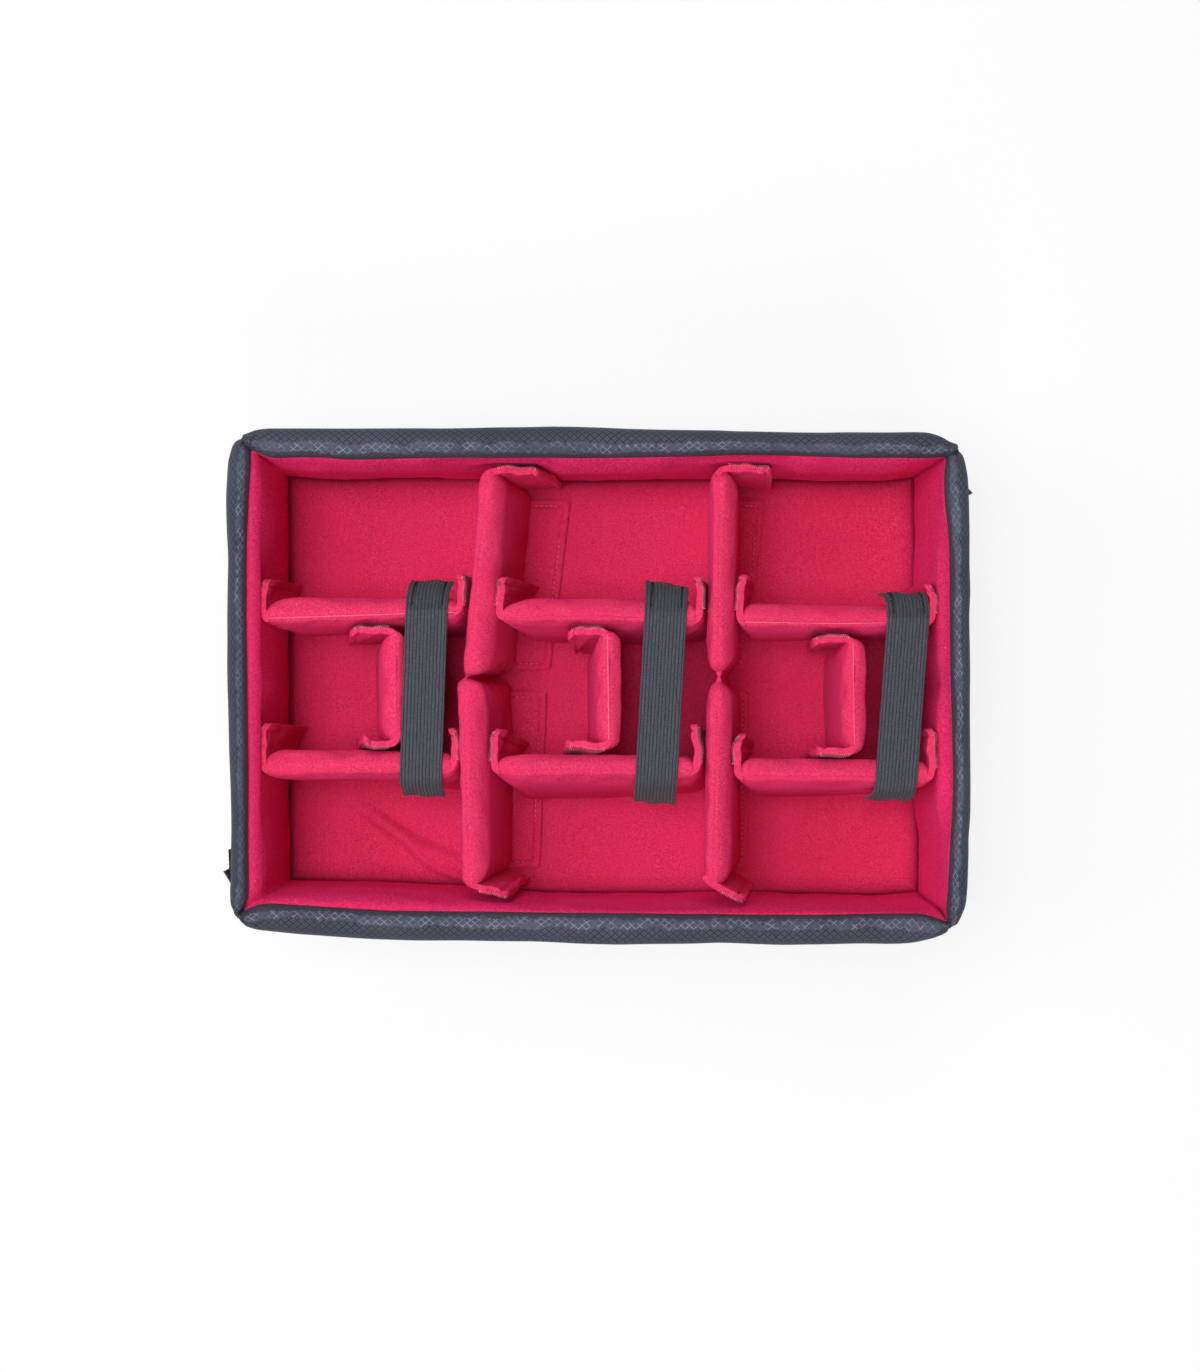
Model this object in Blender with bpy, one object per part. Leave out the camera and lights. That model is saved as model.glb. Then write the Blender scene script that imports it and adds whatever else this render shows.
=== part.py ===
"""Padded case divider: a soft open-top tray with padded dividers and elastic straps.

Metres, +Z up. X runs along the tray's long side, Y along its short side, and the origin lies
under the middle of the tray, on the surface that it stands on.
"""

import math

import bpy
from mathutils import Vector

# Clearance between pieces that touch
GAP = 0.0003

# Tray
TRAY_LENGTH = 0.430
TRAY_WIDTH = 0.298
TRAY_HEIGHT = 0.140
SHORT_SIDE_WALL = 0.014
LONG_SIDE_WALL = 0.0175
SIDE_BOW = 0.003
OUTER_CORNER = 0.016
INNER_CORNER = 0.001
COVER_CLOTH = 0.0012
LINING_CLOTH = 0.0012
FLOOR_FOAM = 0.009
RIM_RISE = 0.008
RIM_TURN_IN = 0.011

# Divider panels
PAD_THICK = 0.017
SMALL_PAD_THICK = 0.016
DIVIDER_TOP = 0.120
PAD_TOP_CORNER = 0.009
LONG_BOTTOM_CORNER = 0.019
CROSS_BOTTOM_CORNER = 0.014
PAD_CROWN = 0.0005
CROWN_RUN = 0.014
SEAM_DEPTH = 0.0007
HINGE_GAP = 0.0042
HINGE_WEB_THICK = 0.002
HINGE_SEAM_Y = 0.005

# Clear depths of the compartments
UPPER_ROW = 0.0865
MIDDLE_ROW = 0.072

# Tabs and floor flaps
TAB_THICK = 0.004
CROSS_TAB_REACH = 0.017
SMALL_TAB_REACH = 0.017
LONG_TAB_REACH = 0.020
TAB_ABOVE_SEAT = 0.005
TAB_BELOW_TOP = 0.002
TAB_CORNER = 0.005
FLAP_THICK = 0.003
FLAP_REACH = 0.024
FLAP_CORNER = 0.005
FLAP_TO_WALL = 0.0155
FLAP_TO_HINGE = 0.0055
PLATE_EDGE = 0.0007

# Elastic straps
STRAP_WIDTH = 0.025
STRAP_THICK = 0.0016
STRAP_NORTH_DROP = 0.020
STRAP_SOUTH_DROP = 0.024

# Flaps and tapes on the outer short sides
SIDE_FLAP_REACH = 0.0095
SIDE_FLAP_THICK = 0.0012
SIDE_FLAP_FLARE = math.radians(40)
SIDE_FLAP_FROM_MIDDLE = 0.1196
SIDE_TAPE_FROM_MIDDLE = 0.1092
SIDE_TAPE_REACH = 0.013
SIDE_TAPE_THICK = 0.0015
SIDE_TRIM_BOTTOM = 0.096
SIDE_TRIM_TOP = 0.128
SIDE_TRIM_CORNER = 0.0015

# Where the long dividers stand, as shares of the tray's clear length, left to right
LONG_PLACE_SHARES = (0.3408, 0.689)
# Where things stand along a column, as shares of its clear width, left to right
SMALL_PLACE_SHARES = (0.6, 0.492, 0.575)
STRAP_PLACE_SHARES = (0.786, 0.785, 0.826)
# Sideways run of each strap for each unit of its length
STRAP_SKEW_SHARES = (0.032, 0.056, 0.066)

# Turns of a padded edge, in degrees from its middle, and how finely outlines are cut
NOSE_TURNS = (-90, -60, -30, 0, 30, 60, 90)
SEAM_TURN = -30
SEAM_HALF_TURN = 8
RIM_TURNS = (0, 30, 60, 90, 120, 150, 180)
CORNER_STEPS = 4
SIDE_STEPS = 6
PAD_CORNER_STEPS = 4
PLATE_CORNER_STEPS = 2
ROUNDEST_LEFT = 0.0004

# Sizes that follow from those above
INNER_X = TRAY_LENGTH / 2 - SHORT_SIDE_WALL
INNER_Y = TRAY_WIDTH / 2 - LONG_SIDE_WALL
COVER_BOTTOM = COVER_CLOTH + GAP
FLOOR_FOAM_TOP = COVER_BOTTOM + FLOOR_FOAM
FLOOR_TOP = FLOOR_FOAM_TOP + GAP + LINING_CLOTH
SEAT = FLOOR_TOP + GAP
RAISED_SEAT = SEAT + FLAP_THICK + GAP
RIM_SPRING = TRAY_HEIGHT - RIM_RISE
LINING_TOP = TRAY_HEIGHT - RIM_TURN_IN - GAP
LONG_1_X, LONG_2_X = (INNER_X * (2 * share - 1) for share in LONG_PLACE_SHARES)
UPPER_CROSS_Y = INNER_Y - UPPER_ROW - PAD_THICK / 2
LOWER_CROSS_Y = UPPER_CROSS_Y - MIDDLE_ROW - PAD_THICK
COLUMNS = (
    (-INNER_X, LONG_1_X - PAD_THICK / 2),
    (LONG_1_X + PAD_THICK / 2, LONG_2_X - PAD_THICK / 2),
    (LONG_2_X + PAD_THICK / 2, INNER_X),
)
COLUMN_SEATS = (SEAT, RAISED_SEAT, RAISED_SEAT)

X_AXIS, Y_AXIS, Z_AXIS = Vector((1, 0, 0)), Vector((0, 1, 0)), Vector((0, 0, 1))


def clear_scene():
    for thing in list(bpy.data.objects):
        bpy.data.objects.remove(thing, do_unlink=True)


def make_material(name, colour, roughness):
    material = bpy.data.materials.new(name)
    material.use_nodes = True
    surface = material.node_tree.nodes["Principled BSDF"]
    surface.inputs["Base Color"].default_value = (*colour, 1)
    surface.inputs["Roughness"].default_value = roughness
    surface.inputs["Metallic"].default_value = 0
    return material


def add_piece(name, rings, material, origin=(0, 0, 0), parent=None, closed=False):
    """A closed solid lofted through rings of points. A closed loft joins its last ring to its first."""
    origin = Vector(origin)
    count = len(rings[0])
    points = [Vector(p) - origin for ring in rings for p in ring]
    faces = []
    pairs = len(rings) if closed else len(rings) - 1
    for r in range(pairs):
        low, high = r * count, ((r + 1) % len(rings)) * count
        for i in range(count):
            j = (i + 1) % count
            faces.append((low + i, low + j, high + j, high + i))
    if not closed:
        faces.append(tuple(range(count - 1, -1, -1)))
        faces.append(tuple(range(pairs * count, pairs * count + count)))
    mesh = bpy.data.meshes.new(name)
    mesh.from_pydata(points, [], faces)
    mesh.materials.append(material)
    make_outward(mesh)
    mesh.shade_smooth()
    mesh.set_sharp_from_angle(angle=math.radians(35))
    piece = bpy.data.objects.new(name, mesh)
    bpy.context.scene.collection.objects.link(piece)
    piece.location = origin
    if parent:
        piece.parent = parent
        piece.matrix_parent_inverse.translation = -parent.location
    return piece


def make_outward(mesh):
    """Turn the faces over if the solid's signed volume says that they point inwards."""
    volume = 0
    for face in mesh.polygons:
        corners = [mesh.vertices[i].co for i in face.vertices]
        for second, third in zip(corners[1:], corners[2:]):
            volume += corners[0].dot(second.cross(third))
    if volume < 0:
        mesh.flip_normals()


def add_empty(name, place, parent=None):
    empty = bpy.data.objects.new(name, None)
    empty.empty_display_size = PAD_THICK
    empty.location = place
    bpy.context.scene.collection.objects.link(empty)
    if parent:
        empty.parent = parent
        empty.matrix_parent_inverse.translation = -parent.location
    return empty


# Tray outlines


def tray_outline(half_x, half_y, corner, bow):
    """A round-cornered rectangle whose sides bow out, anticlockwise from the right side's foot."""
    points = []
    centre_x, centre_y = half_x - bow - corner, half_y - bow - corner
    signs = ((1, 1), (-1, 1), (-1, -1), (1, -1))
    for quarter, (sx, sy) in enumerate(signs):
        centre = Vector((sx * centre_x, sy * centre_y))
        for step in range(CORNER_STEPS + 1):
            turn = math.radians(90) * (quarter + step / CORNER_STEPS)
            points.append(centre + corner * Vector((math.cos(turn), math.sin(turn))))
        following = signs[(quarter + 1) % len(signs)]
        turn = math.radians(90) * (quarter + 1)
        outward = Vector((math.cos(turn), math.sin(turn)))
        start = points[-1]
        end = Vector((following[0] * centre_x, following[1] * centre_y)) + corner * outward
        for step in range(1, SIDE_STEPS):
            share = step / SIDE_STEPS
            rise = bow * (1 - (2 * share - 1) ** 2)
            points.append(start.lerp(end, share) + rise * outward)
    return points


OUTER = tray_outline(TRAY_LENGTH / 2, TRAY_WIDTH / 2, OUTER_CORNER, SIDE_BOW)
INNER = tray_outline(INNER_X, INNER_Y, INNER_CORNER, 0)


def wall_point(station, share, offset, height):
    """A point in the wall at one station: a share of the way in, then an offset further inwards."""
    outer, inner = OUTER[station], INNER[station]
    across = inner - outer
    place = outer + across * share + across.normalized() * offset
    return Vector((place.x, place.y, height))


def rim_section(skin):
    """The wall's section, outside foot to inside foot, lying a skin's thickness under its surface."""
    section = []
    for degrees in RIM_TURNS:
        turn = math.radians(degrees)
        height = RIM_SPRING + (RIM_RISE - skin) * math.sin(turn)
        section.append(((1 - math.cos(turn)) / 2, skin * math.cos(turn), height))
    return section


def wall_outline(share, offset, height):
    return [wall_point(s, share, offset, height) for s in range(len(OUTER))]


def side_place(from_middle):
    """The outer face of a bowed short side at that distance from its middle: place, slope."""
    reach = TRAY_WIDTH / 2 - SIDE_BOW - OUTER_CORNER
    share = from_middle / reach
    return TRAY_LENGTH / 2 - SIDE_BOW * share**2, -2 * SIDE_BOW * share / reach


# Tray pieces


def add_base_cover(ripstop):
    rings = [wall_outline(0, 0, 0), wall_outline(0, 0, COVER_CLOTH)]
    add_piece("base_cover", rings, ripstop)


def add_outer_wall_cover(ripstop):
    """The sleeve's cloth: up the outside, over the rolled rim and down to the lining's edge."""
    turned_end = TRAY_HEIGHT - RIM_TURN_IN
    outside = [(0, 0, COVER_BOTTOM)] + rim_section(0) + [(1, 0, turned_end)]
    inside = [(0, COVER_CLOTH, COVER_BOTTOM)] + rim_section(COVER_CLOTH)
    inside.append((1, -COVER_CLOTH, turned_end))
    section = outside + inside[::-1]
    rings = [[wall_point(s, *spot) for spot in section] for s in range(len(OUTER))]
    add_piece("outer_wall_cover", rings, ripstop, closed=True)


def add_wall_foams(foam):
    """Four boards with mitred ends, rounded along the rim."""
    skin = COVER_CLOTH + GAP
    section = [(0, skin, COVER_BOTTOM)] + rim_section(skin)
    foot = (1, -(LINING_CLOTH + GAP))
    section[-1] = (*foot, RIM_SPRING)
    section.append((*foot, COVER_BOTTOM))
    side = CORNER_STEPS + SIDE_STEPS
    mitre = CORNER_STEPS // 2
    names = ("north", "west", "south", "east")
    along = (-X_AXIS, -Y_AXIS, X_AXIS, Y_AXIS)
    for quarter, name in enumerate(names):
        first = quarter * side + mitre
        stations = [s % len(OUTER) for s in range(first, first + side + 1)]
        rings = [[wall_point(s, *spot) for spot in section] for s in stations]
        rings[0] = [point + along[quarter] * GAP for point in rings[0]]
        rings[-1] = [point - along[quarter] * GAP for point in rings[-1]]
        add_piece(f"wall_foam_{name}", rings, foam)


def add_floor(foam, loop_cloth):
    edge = (1, -LINING_CLOTH)
    rings = [wall_outline(*edge, COVER_BOTTOM), wall_outline(*edge, FLOOR_FOAM_TOP)]
    add_piece("floor_foam", rings, foam)
    rings = [wall_outline(*edge, FLOOR_FOAM_TOP + GAP), wall_outline(*edge, FLOOR_TOP)]
    add_piece("floor_lining", rings, loop_cloth)


def add_wall_lining(loop_cloth):
    corners = ((0, SEAT), (-LINING_CLOTH, SEAT), (-LINING_CLOTH, LINING_TOP), (0, LINING_TOP))
    rings = []
    for station in range(len(INNER)):
        rings.append([wall_point(station, 1, *corner) for corner in corners])
    add_piece("wall_lining", rings, loop_cloth, closed=True)


# Flat sewn pieces: tabs, flaps, tapes


def plate_outline(length, height, corner, inset):
    """A strip's outline as pairs: square at its sewn edge, rounded at its free corners."""
    radius = max(corner - inset, ROUNDEST_LEFT)
    points = [(inset, height - inset), (inset, inset)]
    for quarter, middle in ((-1, corner), (0, height - corner)):
        for step in range(PLATE_CORNER_STEPS + 1):
            turn = math.radians(90) * (quarter + step / PLATE_CORNER_STEPS)
            along = length - corner + radius * math.cos(turn)
            points.append((along, middle + radius * math.sin(turn)))
    return points


def add_plate(name, material, root, directions, sizes, corner, parent=None):
    """A soft-edged strip from its root: along, up and through its thickness, in that order."""
    along, up, through = directions
    length, height, thick = sizes
    rings = []
    for inset, depth in (
        (PLATE_EDGE, 0),
        (0, PLATE_EDGE),
        (0, thick - PLATE_EDGE),
        (PLATE_EDGE, thick),
    ):
        outline = plate_outline(length, height, corner, inset)
        rings.append([root + along * a + up * b + through * depth for a, b in outline])
    return add_piece(name, rings, material, origin=root, parent=parent)


def add_side_trim(name, sign, ripstop, tape):
    """The little flap and its tape on one outer short side; the other side's are turned half way."""
    height = SIDE_TRIM_TOP - SIDE_TRIM_BOTTOM
    out = X_AXIS * sign
    towards_middle = -Y_AXIS * sign
    place, slope = side_place(SIDE_FLAP_FROM_MIDDLE)
    root = out * (place + GAP) - towards_middle * SIDE_FLAP_FROM_MIDDLE + Z_AXIS * SIDE_TRIM_BOTTOM
    along = towards_middle * math.cos(SIDE_FLAP_FLARE) + out * math.sin(SIDE_FLAP_FLARE)
    through = out * math.cos(SIDE_FLAP_FLARE) - towards_middle * math.sin(SIDE_FLAP_FLARE)
    sizes = (SIDE_FLAP_REACH, height, SIDE_FLAP_THICK)
    add_trim_plate(f"side_flap_{name}", ripstop, root, (along, Z_AXIS, through), sizes)

    place, slope = side_place(SIDE_TAPE_FROM_MIDDLE)
    root = out * (place + GAP) - towards_middle * SIDE_TAPE_FROM_MIDDLE + Z_AXIS * SIDE_TRIM_BOTTOM
    along = (towards_middle - out * slope).normalized()
    through = (out + towards_middle * slope).normalized()
    sizes = (SIDE_TAPE_REACH, height, SIDE_TAPE_THICK)
    add_trim_plate(f"side_tape_{name}", tape, root, (along, Z_AXIS, through), sizes)


def add_trim_plate(name, material, root, directions, sizes):
    along, up, through = directions
    length, height, thick = sizes
    outline = plate_outline(length, height, SIDE_TRIM_CORNER, 0)
    rings = [[root + along * a + up * b + through * depth for a, b in outline] for depth in (0, thick)]
    add_piece(name, rings, material, origin=root)


# Padded panels


def pad_outline(length, height, top_corner, bottom_corner, inset):
    """A panel's outline, its middle at zero along and its foot at zero up, drawn in by an inset."""
    points = []
    corners = (
        (1, 1, top_corner),
        (-1, 1, top_corner),
        (-1, 0, bottom_corner),
        (1, 0, bottom_corner),
    )
    for quarter, (side, top, corner) in enumerate(corners):
        radius = max(corner - inset, ROUNDEST_LEFT)
        centre_a = side * (length / 2 - inset - radius)
        centre_b = height - inset - radius if top else inset + radius
        for step in range(PAD_CORNER_STEPS + 1):
            turn = math.radians(90) * (quarter + step / PAD_CORNER_STEPS)
            points.append((centre_a + radius * math.cos(turn), centre_b + radius * math.sin(turn)))
    return points


def pad_profile(thick):
    """The panel's edge: pairs of inset and depth, round-nosed, pinched at its seam, crowned inside."""
    nose = thick / 2 - PAD_CROWN
    turns = {turn: 0 for turn in NOSE_TURNS if turn != SEAM_TURN}
    turns[SEAM_TURN - SEAM_HALF_TURN] = 0
    turns[SEAM_TURN] = SEAM_DEPTH
    turns[SEAM_TURN + SEAM_HALF_TURN] = 0
    profile = [(nose + CROWN_RUN, -thick / 2)]
    for degrees in sorted(turns):
        turn = math.radians(degrees)
        reach = nose - turns[degrees]
        profile.append((nose - reach * math.cos(turn), reach * math.sin(turn)))
    profile.append((nose + CROWN_RUN, thick / 2))
    return profile


def add_pad(name, material, foot, directions, sizes, corners, parent=None):
    """A padded panel standing on its foot: directions and sizes run along, up and through it."""
    along, up, through = directions
    length, height, thick = sizes
    rings = []
    for inset, depth in pad_profile(thick):
        outline = pad_outline(length, height, *corners, inset)
        rings.append([foot + along * a + up * b + through * depth for a, b in outline])
    return add_piece(name, rings, material, origin=foot, parent=parent)


# Tabs at the ends of a divider


def add_tab(name, loop_cloth, corner, along, through, reach, seat, parent):
    """An end tab folded along what the divider stands against. Its origin is its fold line.

    The corner is where the divider's face meets what its end stands against.
    """
    root = Vector(corner) + along * GAP - through * (GAP + TAB_THICK)
    root.z = seat + TAB_ABOVE_SEAT
    sizes = (reach, DIVIDER_TOP - TAB_BELOW_TOP - root.z, TAB_THICK)
    return add_plate(name, loop_cloth, root, (along, Z_AXIS, through), sizes, TAB_CORNER, parent)


def add_long_divider(number, x, loop_cloth):
    """Two panels joined by a stitched fold, with a tab at each far end and two floor flaps."""
    lift = add_empty(f"long_{number}_lift", (x, 0, SEAT))
    face = x + PAD_THICK / 2
    height = DIVIDER_TOP - SEAT
    half_hinge = HINGE_GAP / 2
    for name, sign in (("upper", 1), ("lower", -1)):
        wall_end = sign * (INNER_Y - GAP)
        hinge_end = HINGE_SEAM_Y + sign * half_hinge
        foot = Vector((x, (wall_end + hinge_end) / 2, SEAT))
        sizes = (abs(wall_end - hinge_end), height, PAD_THICK)
        corners = (PAD_TOP_CORNER, LONG_BOTTOM_CORNER)
        directions = (Y_AXIS, Z_AXIS, X_AXIS)
        add_pad(f"long_panel_{number}_{name}", loop_cloth, foot, directions, sizes, corners, lift)

        corner = (face, sign * INNER_Y, SEAT)
        through = Y_AXIS * sign
        tab = f"long_tab_{number}_{name}"
        add_tab(tab, loop_cloth, corner, X_AXIS, through, LONG_TAB_REACH, RAISED_SEAT, lift)

        far_end = sign * (INNER_Y - FLAP_TO_WALL)
        near_end = HINGE_SEAM_Y + sign * FLAP_TO_HINGE
        root = Vector((face + GAP, min(far_end, near_end), SEAT))
        sizes = (FLAP_REACH, abs(far_end - near_end), FLAP_THICK)
        flap = f"floor_flap_{number}_{name}"
        add_plate(flap, loop_cloth, root, (X_AXIS, Y_AXIS, Z_AXIS), sizes, FLAP_CORNER, lift)

    add_hinge_web(number, x, loop_cloth, lift)
    return lift


def add_hinge_web(number, x, loop_cloth, lift):
    """The pinched seam that joins the two panels and lets them fold."""
    length = HINGE_GAP - 2 * GAP
    bottom = SEAT + LONG_BOTTOM_CORNER
    top = DIVIDER_TOP - PAD_TOP_CORNER
    foot = Vector((x - HINGE_WEB_THICK / 2, HINGE_SEAM_Y - length / 2, bottom))
    outline = ((0, 0), (length, 0), (length, top - bottom), (0, top - bottom))
    rings = []
    for depth in (0, HINGE_WEB_THICK):
        rings.append([foot + Y_AXIS * a + Z_AXIS * b + X_AXIS * depth for a, b in outline])
    add_piece(f"hinge_web_{number}", rings, loop_cloth, origin=foot, parent=lift)


def add_cross_pair(number, loop_cloth, carrier):
    """One column's two cross dividers, their four tabs and the empty that lifts the pair."""
    left, right = COLUMNS[number - 1]
    seat = COLUMN_SEATS[number - 1]
    middle = (left + right) / 2
    lift = add_empty(f"cell_{number}_lift", (middle, 0, seat), carrier)
    for name, y in (("upper", UPPER_CROSS_Y), ("lower", LOWER_CROSS_Y)):
        foot = Vector((middle, y, seat))
        sizes = (right - left - 2 * GAP, DIVIDER_TOP - seat, PAD_THICK)
        corners = (PAD_TOP_CORNER, CROSS_BOTTOM_CORNER)
        pad = f"cross_pad_{number}_{name}"
        add_pad(pad, loop_cloth, foot, (X_AXIS, Z_AXIS, Y_AXIS), sizes, corners, lift)
        for side, x, through in (("left", left, -X_AXIS), ("right", right, X_AXIS)):
            corner = (x, y + PAD_THICK / 2, seat)
            tab = f"cross_tab_{number}_{name}_{side}"
            add_tab(tab, loop_cloth, corner, Y_AXIS, through, CROSS_TAB_REACH, seat, lift)
    return lift


def add_small_divider(number, loop_cloth, carrier):
    """The short divider between a column's two cross dividers, with two tabs folded to the left."""
    left, right = COLUMNS[number - 1]
    x = left + (right - left) * SMALL_PLACE_SHARES[number - 1]
    north = UPPER_CROSS_Y - PAD_THICK / 2
    south = LOWER_CROSS_Y + PAD_THICK / 2
    foot = Vector((x, (north + south) / 2, SEAT))
    lift = add_empty(f"small_{number}_lift", foot, carrier)
    sizes = (north - south - 2 * GAP, DIVIDER_TOP - SEAT, SMALL_PAD_THICK)
    corners = (PAD_TOP_CORNER, CROSS_BOTTOM_CORNER)
    pad = f"small_pad_{number}"
    add_pad(pad, loop_cloth, foot, (Y_AXIS, Z_AXIS, X_AXIS), sizes, corners, lift)
    for name, y, through in (("upper", north, Y_AXIS), ("lower", south, -Y_AXIS)):
        corner = (x - SMALL_PAD_THICK / 2, y, SEAT)
        tab = f"small_tab_{number}_{name}"
        add_tab(tab, loop_cloth, corner, -X_AXIS, through, SMALL_TAB_REACH, SEAT, lift)


# Elastic straps


def strap_spot(centre_y, degrees, skin):
    """A spot on the strap's path round a cross divider's top, in Y and Z."""
    turn = math.radians(degrees)
    nose = PAD_THICK / 2 - PAD_CROWN
    y = centre_y + (PAD_THICK / 2 + GAP + skin) * math.sin(turn)
    return y, DIVIDER_TOP - nose + (nose + GAP + skin) * math.cos(turn)


def strap_rings(path, place, skew):
    """Rings across the strap. The path holds pairs of spots: one beside the pads, one outside."""
    rings = []
    for beside, outside in path:
        ring = []
        for (y, z), side in ((beside, -1), (beside, 1), (outside, 1), (outside, -1)):
            x = place + skew * (y - UPPER_CROSS_Y) + side * STRAP_WIDTH / 2
            ring.append((x, y, z))
        rings.append(ring)
    return rings


def add_strap(number, elastic, carrier):
    """The strap over a column's two cross dividers, and its turned-down end on the upper one."""
    left, right = COLUMNS[number - 1]
    place = left + (right - left) * STRAP_PLACE_SHARES[number - 1]
    skew = STRAP_SKEW_SHARES[number - 1]
    skins = (0, STRAP_THICK)

    path = [[strap_spot(UPPER_CROSS_Y, 0, skin) for skin in skins]]
    path += [[strap_spot(LOWER_CROSS_Y, turn, skin) for skin in skins] for turn in (0, -30, -60, -90)]
    foot = DIVIDER_TOP - STRAP_SOUTH_DROP
    path.append([(spot[0], foot) for spot in path[-1]])
    hinge = Vector((place, UPPER_CROSS_Y, path[0][1][1]))
    name = f"strap_{number}"
    add_piece(name, strap_rings(path, place, skew), elastic, origin=hinge, parent=carrier)

    path = [[strap_spot(UPPER_CROSS_Y, turn, skin) for skin in skins] for turn in (0, 30, 60, 90)]
    path[0] = [(y + GAP, z) for y, z in path[0]]
    foot = DIVIDER_TOP - STRAP_NORTH_DROP
    path.append([(spot[0], foot) for spot in path[-1]])
    name = f"strap_end_{number}"
    add_piece(name, strap_rings(path, place, skew), elastic, origin=hinge, parent=carrier)


def build():
    clear_scene()
    ripstop = make_material("ripstop", (0.075, 0.085, 0.12), 0.62)
    loop_cloth = make_material("loop_cloth", (0.68, 0.022, 0.085), 0.95)
    foam = make_material("foam", (0.12, 0.12, 0.13), 0.9)
    elastic = make_material("elastic", (0.05, 0.06, 0.07), 0.8)
    tape = make_material("hook_tape", (0.012, 0.012, 0.014), 0.85)

    add_base_cover(ripstop)
    add_outer_wall_cover(ripstop)
    add_wall_foams(foam)
    add_floor(foam, loop_cloth)
    add_wall_lining(loop_cloth)
    add_side_trim("right", 1, ripstop, tape)
    add_side_trim("left", -1, ripstop, tape)

    long_1 = add_long_divider(1, LONG_1_X, loop_cloth)
    long_2 = add_long_divider(2, LONG_2_X, loop_cloth)
    for number, carrier in ((1, None), (2, long_1), (3, long_2)):
        cell = add_cross_pair(number, loop_cloth, carrier)
        add_small_divider(number, loop_cloth, cell)
        add_strap(number, elastic, cell)


build()
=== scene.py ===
"""A padded case divider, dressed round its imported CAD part."""

import math
from contextlib import contextmanager

import bpy
import numpy as np
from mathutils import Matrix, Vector, noise


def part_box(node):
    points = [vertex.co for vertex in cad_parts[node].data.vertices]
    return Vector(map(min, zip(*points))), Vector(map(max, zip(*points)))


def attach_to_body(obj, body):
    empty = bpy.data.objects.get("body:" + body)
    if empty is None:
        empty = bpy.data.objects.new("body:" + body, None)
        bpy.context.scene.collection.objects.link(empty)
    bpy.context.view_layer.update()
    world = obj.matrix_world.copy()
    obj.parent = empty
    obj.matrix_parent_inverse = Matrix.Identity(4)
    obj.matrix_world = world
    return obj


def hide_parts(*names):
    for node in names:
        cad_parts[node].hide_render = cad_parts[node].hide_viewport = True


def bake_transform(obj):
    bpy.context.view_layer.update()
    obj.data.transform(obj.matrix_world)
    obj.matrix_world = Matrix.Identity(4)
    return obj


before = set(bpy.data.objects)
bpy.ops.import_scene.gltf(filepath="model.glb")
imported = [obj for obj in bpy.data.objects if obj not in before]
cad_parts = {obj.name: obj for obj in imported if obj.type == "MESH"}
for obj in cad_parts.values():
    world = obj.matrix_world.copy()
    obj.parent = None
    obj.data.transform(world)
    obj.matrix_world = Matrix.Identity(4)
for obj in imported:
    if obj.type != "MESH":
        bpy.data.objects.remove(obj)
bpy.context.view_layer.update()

# The tray and its dividers, in metres, as the part has them
INNER_X, INNER_Y = 0.201, 0.1315
HALF_LENGTH, HALF_WIDTH = 0.215, 0.149
SIDE_BOW, OUTER_CORNER = 0.003, 0.016
RIM_SPRING, RIM_RISE = 0.132, 0.008
COVER_FOOT, TURNED_END = 0.0015, 0.129
LINING_FOOT, LINING_TOP = 0.0116, 0.1300
SEAT, DIVIDER_TOP = 0.0123, 0.120
FLOOR_TOP, CLOTH = 0.0120, 0.0012
LONG_X = (-0.0639984, 0.075978)
ROW_Y = (-0.0525, 0.0365)
HALF_PAD = 0.0085

# The dividers' lean: a place along the divider, then how far its top and its foot are moved there
LONG_LEAN = (
    ((-0.131, -0.0095, 0.0020), (0.003, -0.0110, 0.0015), (0.0071, -0.0078, 0.0032), (0.131, 0.0010, 0.0160)),
    ((-0.131, -0.0065, 0.0070), (0.005, -0.0050, 0.0070), (0.131, -0.0020, 0.0070)),
)
CROSS_LEAN = (
    ((-0.137, 0.0065, 0.0005), (-0.045, 0.0050, -0.0130), (0.025, 0.0045, -0.0105), (0.066, 0.0038, -0.0075),
     (0.110, 0.0020, -0.0105), (0.200, 0.0008, -0.0080)),
    ((-0.137, 0.0080, 0.0040), (0.006, 0.0078, -0.0020), (0.143, 0.0030, 0.0010)),
)

# The lean of the cross pads' ends beside the first long divider, between that divider's own two ends
BESIDE_LONG = ((-0.030, -0.0094, 0.0015), (0.036, -0.0062, 0.0062))

# How far the feet of what sticks to the west wall stand in from it
WEST_FEET = 0.0036

# How far each small divider's top and foot are moved
SMALL_LEAN = ((0.0030, -0.0110), (0.0015, -0.0050), (0.0, -0.0010))


# Small tools

def only(piece=None):
    bpy.ops.object.select_all(action="DESELECT")
    if piece is not None:
        piece.select_set(True)
        bpy.context.view_layer.objects.active = piece


def block(name, size):
    """A cube of that size round the origin, its size in its mesh."""
    only()
    bpy.ops.mesh.primitive_cube_add(size=1, scale=size)
    made = bpy.context.object
    made.name = name
    bpy.ops.object.transform_apply(location=True, rotation=True, scale=True)
    return made


def grid(name, across, along):
    """A flat grid from 0 to 1 each way; the two shares of each point come with it."""
    only()
    bpy.ops.mesh.primitive_grid_add(x_subdivisions=across, y_subdivisions=along, size=1)
    made = bpy.context.object
    made.name = name
    spots = points_of(made)
    return made, spots[:, 0] + 0.5, spots[:, 1] + 0.5


def points_of(piece, kind="co"):
    flat = np.empty(len(piece.data.vertices) * 3)
    piece.data.vertices.foreach_get(kind, flat)
    return flat.reshape(-1, 3)


def normals_of(piece):
    return points_of(piece, "normal")


def place(piece, points):
    piece.data.vertices.foreach_set("co", np.ascontiguousarray(points, dtype=np.float64).ravel())
    piece.data.update()


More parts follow.
